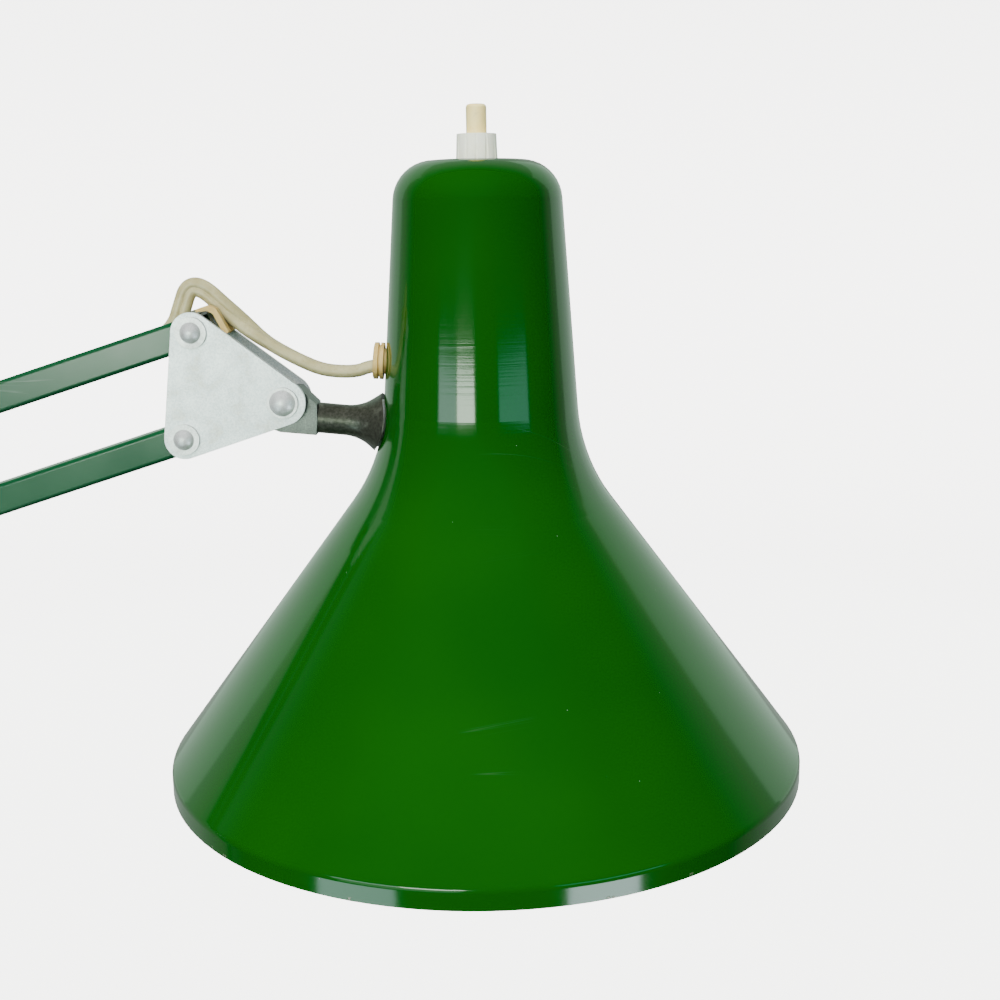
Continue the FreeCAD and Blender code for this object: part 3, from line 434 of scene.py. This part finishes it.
def returnSpring(facts):
    # helix round the shade's axis: radius*cos a, radius*sin a, height rising evenly with a
    a = np.linspace(0, facts["turns"] * 2 * math.pi, facts["turns"] * 20)
    rise = np.linspace(shadeTop - facts["low"] + 0.7, shadeTop - facts["high"] - 0.7, len(a))
    outward = np.column_stack([np.cos(a), np.sin(a), 0 * a])
    path = (outward * facts["radius"] + np.column_stack([0 * a + shadeAxis, 0 * a, rise])) * mm
    coil = carry(path, roundSection(facts["wire"] / 2, 8), outward)
    piece = gridPiece("buttonReturnSpring", coil)
    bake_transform(piece)
    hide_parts("button_spring")


returnSpring(returnFacts)
print("springs wound")


# materials

def hexColour(text):
    # sRGB hex to linear: below 0.04045 divide by 12.92, above raise (c + 0.055) / 1.055 to 2.4
    c = np.array([int(text[i:i + 2], 16) for i in (1, 3, 5)]) / 255
    c = np.where(c <= 0.04045, c / 12.92, ((c + 0.055) / 1.055) ** 2.4)
    return (*c.tolist(), 1.0)


def addNode(tree, kind, links=None, **settings):
    # one node; settings are its properties, links its sockets, each a value, a node or its socket
    node = tree.nodes.new("ShaderNode" + kind)
    for key, value in settings.items():
        setattr(node, key, value)
    for key, value in (links or {}).items():
        if isinstance(value, bpy.types.Node):  # a node stands for its first output in use
            value = next(output for output in value.outputs if output.enabled)
        if isinstance(value, bpy.types.NodeSocket):
            tree.links.new(value, node.inputs[key])
        else:
            node.inputs[key].default_value = value
    return node


def newMaterial(name):
    material = bpy.data.materials.new(name)
    material.use_nodes = True
    tree = material.node_tree
    tree.nodes.clear()
    place = addNode(tree, "TexCoord").outputs["Object"]
    return material, tree, place


def closeMaterial(tree, links):
    shader = addNode(tree, "BsdfPrincipled", links)
    addNode(tree, "OutputMaterial", {"Surface": shader.outputs["BSDF"]})


def patterned(tree, place, size, detail=3.0, stretch=(1, 1, 1), turn=(0, 0, 0), rough=0.5):
    # noise whose grain is size millimetres, drawn out along an axis by stretch
    moved = addNode(tree, "Mapping", {"Vector": place, "Rotation": turn, "Scale": stretch},
                    vector_type="TEXTURE")
    return addNode(tree, "TexNoise", {"Vector": moved.outputs["Vector"], "Scale": 1000 / size,
                                      "Detail": detail, "Roughness": rough}).outputs["Fac"]


def scratchMask(tree, place, lines):
    # thin lines: noise drawn out in two directions and cut to the narrow band round its middle
    # value, kept only where a coarser noise is high
    total = None
    for turn, size, keep in lines:
        fine = patterned(tree, place, size, 0.0, (80, 1, 80), turn)
        off = addNode(tree, "Math", {0: fine, 1: 0.5}, operation="SUBTRACT")
        near = addNode(tree, "Math", {0: off}, operation="ABSOLUTE")
        line = addNode(tree, "MapRange", {0: near, 1: 0.0, 2: 0.02, 3: 1.0, 4: 0.0})
        coarse = patterned(tree, place, size * 9, 1.0, (4, 1, 4), turn)
        patch = addNode(tree, "MapRange", {0: coarse, 1: keep, 2: keep + 0.04})
        kept = addNode(tree, "Math", {0: line, 1: patch}, operation="MULTIPLY")
        if total is not None:
            kept = addNode(tree, "Math", {0: total, 1: kept}, operation="MAXIMUM")
        total = kept
    return total


shadePaint = {"green": "#004500", "deep": "#004002", "inside": "#E9E8DE", "grey": "#5B6B58",
              "dust": "#9FB59B", "bare": "#8E8A80", "roughness": 0.075, "streak": 0.9, "peel": 1.6,
              "scratch": 0.08}


def stovedEnamelOnSpinning(facts):
    # stoving enamel, sprayed on a spun steel shade and baked: deep gloss over faint turning marks,
    # fine hair scratches, a few specks of dust, and bare metal nicks at the rim
    material, tree, place = newMaterial("stovedEnamelOnSpunSteel")
    fromAxis = addNode(tree, "VectorMath", {0: place, 1: (shadeAxis * mm, 0, 0)},
                       operation="SUBTRACT")
    split = addNode(tree, "SeparateXYZ", {0: fromAxis})
    level = addNode(tree, "CombineXYZ", {"X": split.outputs["X"], "Y": split.outputs["Y"],
                                         "Z": 0.0})
    outward = addNode(tree, "VectorMath", {0: level}, operation="NORMALIZE")
    facing = addNode(tree, "TexCoord").outputs["Normal"]
    lean = addNode(tree, "VectorMath", {0: outward, 1: facing}, operation="DOT_PRODUCT")
    inner = addNode(tree, "MapRange", {0: lean, 1: -0.12, 2: -0.06, 3: 1.0, 4: 0.0})
    height = split.outputs["Z"]
    neck = addNode(tree, "MapRange", {0: height, 1: (rimHeight + 88) * mm,
                                      2: (rimHeight + 105) * mm})

    tone = patterned(tree, place, 60, 2.0)  # slow drift of the green, a hand's width across
    drift = addNode(tree, "MapRange", {0: tone, 1: 0.35, 2: 0.65})
    colour = addNode(tree, "Mix", {0: drift, 6: hexColour(facts["deep"]),
                                   7: hexColour(facts["green"])}, data_type="RGBA")
    scratches = scratchMask(tree, place, [((0.9, 0.3, 0.4), 1.6, 0.69), ((1.2, 0.1, 0.7), 1.3, 0.7),
                                          ((1.9, 0.4, 1.3), 1.9, 0.69)])  # wider than real hairs
    pale = addNode(tree, "Math", {0: scratches, 1: facts["scratch"]}, operation="MULTIPLY")
    colour = addNode(tree, "Mix", {0: pale, 6: colour, 7: hexColour(facts["grey"])},
                     data_type="RGBA")
    specks = addNode(tree, "TexVoronoi", {"Vector": place, "Scale": 1000 / 5.0, "Randomness": 1.0})
    dot = addNode(tree, "MapRange", {0: specks, 1: 0.018, 2: 0.035, 3: 1.0, 4: 0.0})
    sparse = addNode(tree, "MapRange", {0: patterned(tree, place, 11, 1.0), 1: 0.6, 2: 0.64})
    dust = addNode(tree, "Math", {0: dot, 1: sparse}, operation="MULTIPLY")
    colour = addNode(tree, "Mix", {0: dust, 6: colour, 7: hexColour(facts["dust"])},
                     data_type="RGBA")
    rimEdge = addNode(tree, "MapRange", {0: height, 1: (rimHeight + 0.1) * mm,
                                         2: (rimHeight + 1.2) * mm, 3: 1.0, 4: 0.0})
    nick = addNode(tree, "MapRange", {0: patterned(tree, place, 2.6, 3.0), 1: 0.65, 2: 0.68})
    chip = addNode(tree, "Math", {0: rimEdge, 1: nick}, operation="MULTIPLY")
    colour = addNode(tree, "Mix", {0: chip, 6: colour, 7: hexColour(facts["bare"])},
                     data_type="RGBA")
    colour = addNode(tree, "Mix", {0: inner, 6: colour, 7: hexColour(facts["inside"])},
                     data_type="RGBA")

    # turning marks, drawn coarser than real
    rings = patterned(tree, place, 0.9, 2.0, (40, 40, 1), rough=0.6)
    streaks = addNode(tree, "Math", {0: rings, 1: neck}, operation="MULTIPLY")
    peel = patterned(tree, place, facts["peel"], 2.0)
    normal = addNode(tree, "Bump", {"Height": peel, "Distance": 0.004 * mm, "Strength": 0.5})
    normal = addNode(tree, "Bump", {"Height": streaks, "Distance": 0.012 * mm,
                                    "Strength": facts["streak"], "Normal": normal})
    normal = addNode(tree, "Bump", {"Height": scratches, "Distance": 0.01 * mm, "Strength": 0.15,
                                    "Normal": normal})
    normal = addNode(tree, "Bump", {"Height": chip, "Distance": 0.06 * mm, "Strength": 0.8,
                                    "Normal": normal})
    handled = addNode(tree, "MapRange", {0: tone, 1: 0.3, 2: 0.7, 3: facts["roughness"],
                                         4: facts["roughness"] + 0.05})
    marked = addNode(tree, "Math", {0: scratches, 1: 0.15, 2: handled}, operation="MULTIPLY_ADD")
    worn = addNode(tree, "Math", {0: inner, 1: 0.3, 2: marked}, operation="MULTIPLY_ADD")
    closeMaterial(tree, {"Base Color": colour, "Roughness": worn, "Normal": normal, "IOR": 1.5})
    return material


tubePaint = {"green": "#064323", "deep": "#053E21", "grey": "#7C8F7E", "roughness": 0.17,
             "edge": 0.35}


def stovedEnamelOnDrawnTube(facts):
    # the same enamel on drawn square tube: a duller gloss from handling, softened at its corners,
    # with scratches drawn wider than real
    material, tree, place = newMaterial("stovedEnamelOnDrawnTube")
    tone = patterned(tree, place, 18, 3.0)
    drift = addNode(tree, "MapRange", {0: tone, 1: 0.3, 2: 0.7})
    colour = addNode(tree, "Mix", {0: drift, 6: hexColour(facts["deep"]),
                                   7: hexColour(facts["green"])}, data_type="RGBA")
    scratches = scratchMask(tree, place, [((1.1, 0.3, 0.5), 1.2, 0.66),
                                          ((0.7, 0.6, 1.5), 1.0, 0.68)])
    pale = addNode(tree, "Math", {0: scratches, 1: 0.5}, operation="MULTIPLY")
    colour = addNode(tree, "Mix", {0: pale, 6: colour, 7: hexColour(facts["grey"])},
                     data_type="RGBA")
    rough = addNode(tree, "MapRange", {0: tone, 1: 0.3, 2: 0.7, 3: facts["roughness"],
                                       4: facts["roughness"] + 0.08})
    soft = addNode(tree, "Bevel", {"Radius": facts["edge"] * mm}, samples=4)
    normal = addNode(tree, "Bump", {"Height": patterned(tree, place, 1.4, 2.0),
                                    "Distance": 0.006 * mm, "Strength": 0.5, "Normal": soft})
    normal = addNode(tree, "Bump", {"Height": scratches, "Distance": 0.01 * mm, "Strength": 0.6,
                                    "Normal": normal})
    closeMaterial(tree, {"Base Color": colour, "Roughness": rough, "Normal": normal, "IOR": 1.5})
    return material


def plainMetal(name, facts):
    # a metal's colour between two tones by a noise of its own grain, the same grain as a slight
    # bump, hair scratches, and stains that dull it; grain and scratches are drawn coarser than real
    material, tree, place = newMaterial(name)
    grain = patterned(tree, place, facts["grain"], 3.0)
    stain = patterned(tree, place, facts["stainSize"], 4.0, rough=0.6)
    shift = addNode(tree, "MapRange", {0: grain, 1: 0.35, 2: 0.65})
    colour = addNode(tree, "Mix", {0: shift, 6: hexColour(facts["dark"]),
                                   7: hexColour(facts["light"])}, data_type="RGBA")
    spoiled = addNode(tree, "MapRange", {0: stain, 1: 0.54, 2: 0.72, 3: 0.0, 4: facts["stained"]})
    colour = addNode(tree, "Mix", {0: spoiled, 6: colour, 7: hexColour(facts["stain"])},
                     data_type="RGBA")
    scratches = scratchMask(tree, place, [((1.3, 0.2, 0.9), 0.6, 0.62),
                                          ((0.8, 0.5, 2.1), 0.5, 0.64)])
    rough = addNode(tree, "MapRange", {0: stain, 1: 0.4, 2: 0.75, 3: facts["rough"],
                                       4: facts["rough"] + facts["dull"]})
    soft = addNode(tree, "Bevel", {"Radius": facts["edge"] * mm}, samples=4)
    normal = addNode(tree, "Bump", {"Height": grain, "Distance": facts["depth"] * mm,
                                    "Strength": 0.6, "Normal": soft})
    normal = addNode(tree, "Bump", {"Height": scratches, "Distance": 0.012 * mm, "Strength": 0.5,
                                    "Normal": normal})
    closeMaterial(tree, {"Base Color": colour, "Metallic": facts["metal"], "Roughness": rough,
                         "Normal": normal})
    return material


metalFacts = {
    "brightZincOnPressedSteel": {  # pressed plate, bright zinc: pale, faintly blue, dull grain
        "light": "#F4FAFA", "dark": "#D6DFE1", "stain": "#CFC9A2", "grain": 0.45, "stainSize": 5,
        "stained": 0.3, "dull": 0.1, "rough": 0.38, "depth": 0.006, "edge": 0.25, "metal": 0.6},
    "polishedRivetSteel": {  # upset and peened head, rubbed bright
        "light": "#F2F4F3", "dark": "#D9DDDB", "stain": "#8B8981", "grain": 0.4, "stainSize": 3,
        "stained": 0.3, "dull": 0.1, "rough": 0.36, "depth": 0.004, "edge": 0.15, "metal": 0.6},
    "machinedKnuckleSteel": {  # sawn and milled bar, left grey
        "light": "#7C817C", "dark": "#636865", "stain": "#6D6F69", "grain": 0.5, "stainSize": 4,
        "stained": 0.5, "dull": 0.12, "rough": 0.35, "depth": 0.006, "edge": 0.2, "metal": 0.9},
    "blackOxideOnTurnedSteel": {  # oil blacked turning, rubbed thin so that grey shows through
        "light": "#585A50", "dark": "#44463D", "stain": "#808277", "grain": 0.8, "stainSize": 3.0,
        "stained": 0.6, "dull": 0.1, "rough": 0.36, "depth": 0.01, "edge": 0.2, "metal": 0.75},
    "drawnSpringWire": {  # patented carbon wire, drawn, with a zinc flash
        "light": "#C9CCCB", "dark": "#A9ADAC", "stain": "#7B776D", "grain": 0.5, "stainSize": 6,
        "stained": 0.45, "dull": 0.12, "rough": 0.28, "depth": 0.004, "edge": 0.05, "metal": 1.0},
    "spunBrassCap": {  # thin rolled brass of the bulb's screw cap, slightly tarnished
        "light": "#D9C07A", "dark": "#BF9F55", "stain": "#8A6A3A", "grain": 0.6, "stainSize": 5,
        "stained": 0.4, "dull": 0.1, "rough": 0.25, "depth": 0.004, "edge": 0.15, "metal": 1.0},
    "sandCastIron": {  # rough grey casting under the cover
        "light": "#5A5854", "dark": "#3B3A37", "stain": "#6B4E38", "grain": 1.2, "stainSize": 14,
        "stained": 0.6, "dull": 0.1, "rough": 0.6, "depth": 0.25, "edge": 0.6, "metal": 0.6}}


def plainMoulding(name, facts):
    # moulded plastic, fired clay or glass: an even body colour with slight clouding, a skin texture
    # drawn coarser than real and the gloss of the mould, with light carried a little way under the
    # surface where it is milky
    material, tree, place = newMaterial(name)
    cloud = patterned(tree, place, facts["cloud"], 3.0)
    cloud = addNode(tree, "MapRange", {0: cloud, 1: 0.35, 2: 0.65})
    colour = addNode(tree, "Mix", {0: cloud, 6: hexColour(facts["dark"]),
                                   7: hexColour(facts["light"])}, data_type="RGBA")
    dirt = patterned(tree, place, facts["cloud"] * 0.4, 4.0, rough=0.65)
    soiled = addNode(tree, "MapRange", {0: dirt, 1: 0.58, 2: 0.78, 3: 0.0, 4: facts["dirtAmount"]})
    colour = addNode(tree, "Mix", {0: soiled, 6: colour, 7: hexColour(facts["dirt"])},
                     data_type="RGBA")
    rough = addNode(tree, "MapRange", {0: dirt, 1: 0.35, 2: 0.7, 3: facts["roughness"],
                                       4: facts["roughness"] + 0.12})
    skin = {"Height": patterned(tree, place, facts["skin"], 2.0), "Distance": facts["depth"] * mm,
            "Strength": 0.5}
    if facts["edge"]:
        skin["Normal"] = addNode(tree, "Bevel", {"Radius": facts["edge"] * mm}, samples=4)
    normal = addNode(tree, "Bump", skin)
    closeMaterial(tree, {"Base Color": colour, "Roughness": rough, "Normal": normal,
                         "IOR": facts["ior"], "Subsurface Weight": facts["milk"],
                         "Subsurface Radius": (1.0, 0.8, 0.5), "Subsurface Scale": 0.0015})
    return material


mouldFacts = {
    "mouldedUreaCream": {  # urea formaldehyde, cream, aged a shade darker: the button and plug
        "light": "#FFE9A0", "dark": "#FADF90", "dirt": "#B9A57B", "cloud": 6, "dirtAmount": 0.4,
        "roughness": 0.28, "edge": 0.2, "skin": 0.5, "depth": 0.006, "ior": 1.55, "milk": 0.15},
    "mouldedUreaWhite": {  # the same resin, white: the ring nut, lampholder
        "light": "#FFFFEE", "dark": "#FAFAE2", "dirt": "#B7B19B", "cloud": 5, "dirtAmount": 0.35,
        "roughness": 0.3, "edge": 0.15, "skin": 0.4, "depth": 0.005, "ior": 1.55, "milk": 0.1},
    "mouldedPolythene": {  # low density, yellowed: the saddle between the plates, the grommet
        "light": "#CBAF6C", "dark": "#B99D5A", "dirt": "#9E8B5F", "cloud": 4, "dirtAmount": 0.4,
        "roughness": 0.4, "edge": 0.2, "skin": 0.6, "depth": 0.01, "ior": 1.5, "milk": 0.25},
    "extrudedPvcFlex": {  # soft PVC twin flex, once clear, gone milky and yellow
        "light": "#B4AD84", "dark": "#A1996F", "dirt": "#94875F", "cloud": 5, "dirtAmount": 0.5,
        "roughness": 0.26, "edge": 0.0, "skin": 0.8, "depth": 0.012, "ior": 1.53, "milk": 0.35},
    "pressedWoolFelt": {  # grey green felt, matted fibres
        "light": "#4C5147", "dark": "#383C34", "dirt": "#6A6A5E", "cloud": 3, "dirtAmount": 0.6,
        "roughness": 0.92, "edge": 0.0, "skin": 0.5, "depth": 0.25, "ior": 1.45, "milk": 0.0},
    "mouldedNylon": {  # natural nylon bush and washers, ivory
        "light": "#E6E2D2", "dark": "#DAD5C2", "dirt": "#9C9784", "cloud": 4, "dirtAmount": 0.35,
        "roughness": 0.38, "edge": 0.1, "skin": 0.5, "depth": 0.006, "ior": 1.53, "milk": 0.2},
    "blownOpalGlass": {  # bulb glass with a white diffusing lining
        "light": "#FBFAF5", "dark": "#F4F2EA", "dirt": "#D9D5C8", "cloud": 30, "dirtAmount": 0.2,
        "roughness": 0.12, "edge": 0.0, "skin": 6, "depth": 0.01, "ior": 1.5, "milk": 0.3},
    "firedSteatite": {  # pressed and fired insulating disc
        "light": "#E5E2D8", "dark": "#D8D4C8", "dirt": "#A8A296", "cloud": 5, "dirtAmount": 0.4,
        "roughness": 0.6, "edge": 0.3, "skin": 0.4, "depth": 0.02, "ior": 1.55, "milk": 0.0}}

finishes = {
    "stovedEnamelOnSpunSteel": ["shade"],
    "stovedEnamelOnDrawnTube": ["base_cover", "base_collar", "lower_rear_tube", "lower_front_tube",
                                "upper_top_tube", "upper_bottom_tube"],
    "brightZincOnPressedSteel": ["fork_plate_near", "fork_plate_far", "elbow_plate_near",
                                 "elbow_plate_far", "head_plate_near", "head_plate_far",
                                 "fork_stem", "stem_nut", "spigot_nut", "swivel_washer",
                                 "fork_spring_studs", "elbow_spring_studs",
                                 "lower_spring_bolt", "upper_spring_bolt", "plug_pins"],
    "polishedRivetSteel": ["fork_rivets", "fork_pivot_pins", "elbow_pivot_pins", "head_pivot_pins",
                           "nose_pivot_pin"],
    "machinedKnuckleSteel": ["knuckle"],
    "blackOxideOnTurnedSteel": ["ferrule"],
    "drawnSpringWire": ["lower_springs", "upper_springs", "lower_spring_hooks",
                        "upper_spring_hooks", "button_spring"],
    "spunBrassCap": ["bulb_cap"],
    "sandCastIron": ["base_weight"],
    "mouldedUreaCream": ["push_button", "plug_body"],
    "mouldedUreaWhite": ["switch_nut", "holder_cap", "holder_skirt"],
    "mouldedPolythene": ["cord_clip", "grommet"],
    "extrudedPvcFlex": ["base_cord", "fork_cord", "lower_arm_cord", "elbow_cord", "upper_arm_cord",
                        "head_cord", "lead", "lead_coil", "lead_tail", "strain_relief"],
    "pressedWoolFelt": ["felt_pad"],
    "mouldedNylon": ["base_bush", "fork_washers", "elbow_washers", "head_washers"],
    "blownOpalGlass": ["bulb_glass"],
    "firedSteatite": ["holder_insert"]}

made = {"stovedEnamelOnSpunSteel": stovedEnamelOnSpinning(shadePaint),
        "stovedEnamelOnDrawnTube": stovedEnamelOnDrawnTube(tubePaint)}
made.update({name: plainMetal(name, facts) for name, facts in metalFacts.items()})
made.update({name: plainMoulding(name, facts) for name, facts in mouldFacts.items()})

for finish, members in finishes.items():
    for member in members:
        data = nodes[member].data
        if not data.materials:
            data.materials.append(made[finish])
        for k in range(len(data.materials)):
            data.materials[k] = made[finish]
left = sorted(set(nodes) - {m for members in finishes.values() for m in members})
print("finishes on", len(finishes), "groups; without one:", left)

newPieces = {"extrudedPvcFlex": ["leadCord", "forkFlex", "elbowFlexLow", "elbowFlexHigh",
                                 "headFlexHairpin", "headFlexMiddle", "headFlexEnd"],
             "drawnSpringWire": ["lowerSpringFar", "lowerSpringNear", "upperSpringFar",
                                 "upperSpringNear", "buttonReturnSpring"],
             "mouldedUreaCream": ["plugMoulding"]}
for finish, members in newPieces.items():
    for member in members:
        bpy.data.objects[member].data.materials.append(made[finish])


# floor, backdrop and light

stageFacts = {"depthFront": -12.0, "depthBack": 2.0, "curve": 1.2, "height": 4.0, "half": 9.0,
              "pale": "#F2F1EF", "deep": "#EFEEEC", "glow": 4.4}


def makeStage(facts):
    # a floor that curves up into a wall: (y, z) runs straight, round a quarter circle, then
    # straight up; it glows for the eye alone, so that it neither lights the lamp nor shows in it
    a = np.linspace(0, math.pi / 2, 24)
    y = np.concatenate([[facts["depthFront"]], facts["depthBack"] + facts["curve"] * np.sin(a),
                        [facts["depthBack"] + facts["curve"]]])
    z = np.concatenate([[0], facts["curve"] * (1 - np.cos(a)), [facts["height"]]]) - 0.0002
    x = np.array([-facts["half"], facts["half"]])
    points = np.stack([np.repeat(x[None, :], len(y), 0), np.repeat(y[:, None], 2, 1),
                       np.repeat(z[:, None], 2, 1)], axis=-1).reshape(-1, 3)
    faces = [[2 * i, 2 * i + 1, 2 * i + 3, 2 * i + 2] for i in range(len(y) - 1)]
    stage = putMesh("paleStage", points, faces, sharp=60)
    material, tree, place = newMaterial("mattPaper")
    tone = addNode(tree, "MapRange", {0: patterned(tree, place, 900, 2.0), 1: 0.2, 2: 0.8})
    colour = addNode(tree, "Mix", {0: tone, 6: hexColour(facts["deep"]),
                                   7: hexColour(facts["pale"])}, data_type="RGBA")
    closeMaterial(tree, {"Base Color": colour, "Roughness": 0.9, "Specular IOR Level": 0.0,
                         "Emission Color": hexColour(facts["pale"]),
                         "Emission Strength": facts["glow"]})
    stage.data.materials.append(material)
    stage.visible_glossy = False
    stage.visible_diffuse = False


def putLight(data, place, aim):
    light = bpy.data.objects.new(data.name, data)
    bpy.context.scene.collection.objects.link(light)
    turned = aim.to_track_quat("-Z", "Y").to_matrix().to_4x4()
    light.matrix_world = Matrix.Translation(place) @ turned
    return light


def softbox(name, centre, target, width, height, radiance, colour, diffuse=True):
    # power of a flat light that shows a given brightness: radiance * pi * width * height
    data = bpy.data.lights.new(name, "AREA")
    data.shape = "RECTANGLE"
    data.size, data.size_y = width, height
    data.energy = radiance * math.pi * width * height
    data.color = hexColour(colour)[:3]
    light = putLight(data, centre, Vector(target) - Vector(centre))
    light.visible_camera = False
    light.visible_diffuse = diffuse


def beyond(start, azimuth, elevation, distance):
    # a place seen from start: azimuth 0 is towards -Y and 90 towards +X
    a, e = math.radians(azimuth), math.radians(elevation)
    way = np.array([math.sin(a) * math.cos(e), -math.cos(a) * math.cos(e), math.sin(e)])
    return tuple(np.array(start) + distance * way)


neckPlace = (0.276, -0.026, 0.575)
bandLeft, bandRight = (0.247, -0.089, 0.458), (0.307, -0.090, 0.458)
lights = [
    ("windowLeftBright", neckPlace, -17, -1.7, 1.3, 0.47, 0.155, 21.0, "#EEFFEE"),
    ("windowLeftDim", neckPlace, -39, -1.7, 1.3, 0.50, 0.155, 5.4, "#E0F4FF"),
    ("windowRight", neckPlace, 40, -1.7, 1.3, 0.84, 0.155, 2.4, "#A0FAFA"),
    ("lowPanelLeft", neckPlace, -28, -13, 1.3, 0.90, 0.38, 1.5, "#D4FFEA")]
for name, start, azimuth, elevation, distance, width, height, radiance, colour in lights:
    softbox(name, beyond(start, azimuth, elevation, distance), start, width, height, radiance,
            colour)
softbox("lowCardLeft", beyond(bandLeft, -46, -29, 0.6), bandLeft, 0.29, 0.12, 5.1, "#DAF9FF",
        diffuse=False)
softbox("lowCardRight", beyond(bandRight, 41, -29, 0.6), bandRight, 0.26, 0.12, 11.4, "#E6F5FF",
        diffuse=False)


def daylight(strength, lean, spread):
    # even light from above and in front, as soft as an overcast window
    data = bpy.data.lights.new("softDaylight", "SUN")
    data.energy = strength
    data.angle = math.radians(spread)
    lean = math.radians(lean)
    light = putLight(data, (0, -2, 3), Vector((0.12, math.sin(lean), -math.cos(lean))))
    light.visible_glossy = False


daylight(7.0, 45, 70)
softbox("wallCardRight", beyond(neckPlace, 140, 16, 1.6), neckPlace, 1.5, 1.8, 0.6, "#CCFFDD")
softbox("wallCardLeft", beyond(neckPlace, -146, 16, 1.6), neckPlace, 1.5, 1.8, 0.45, "#CCFFDD")

worldFacts = {"back": 0.55, "front": 0.04, "tint": (0.85, 1, 0.9, 1), "seen": "#F3F3F4",
              "seenGlow": 6.0}


def makeWorld(facts):
    # brightness by direction: the half behind the lamp is bright and the half in front dim, and a
    # plain pale colour where the sky itself is looked at
    world = bpy.data.worlds.new("roomLight")
    bpy.context.scene.world = world
    world.use_nodes = True
    tree = world.node_tree
    tree.nodes.clear()
    direction = addNode(tree, "TexCoord").outputs["Generated"]
    split = addNode(tree, "SeparateXYZ", {"Vector": direction})
    bright = addNode(tree, "MapRange", {0: split.outputs["Y"], 1: 0.05, 2: 0.5, 3: facts["front"],
                                        4: facts["back"]})
    soft = addNode(tree, "Background", {"Color": facts["tint"], "Strength": bright})
    seen = addNode(tree, "Background", {"Color": hexColour(facts["seen"]),
                                        "Strength": facts["seenGlow"]})
    choice = addNode(tree, "LightPath").outputs["Is Camera Ray"]
    both = addNode(tree, "MixShader", {0: choice, 1: soft.outputs[0], 2: seen.outputs[0]})
    addNode(tree, "OutputWorld", {"Surface": both.outputs[0]})


makeStage(stageFacts)
makeWorld(worldFacts)
print("stage and lights set")
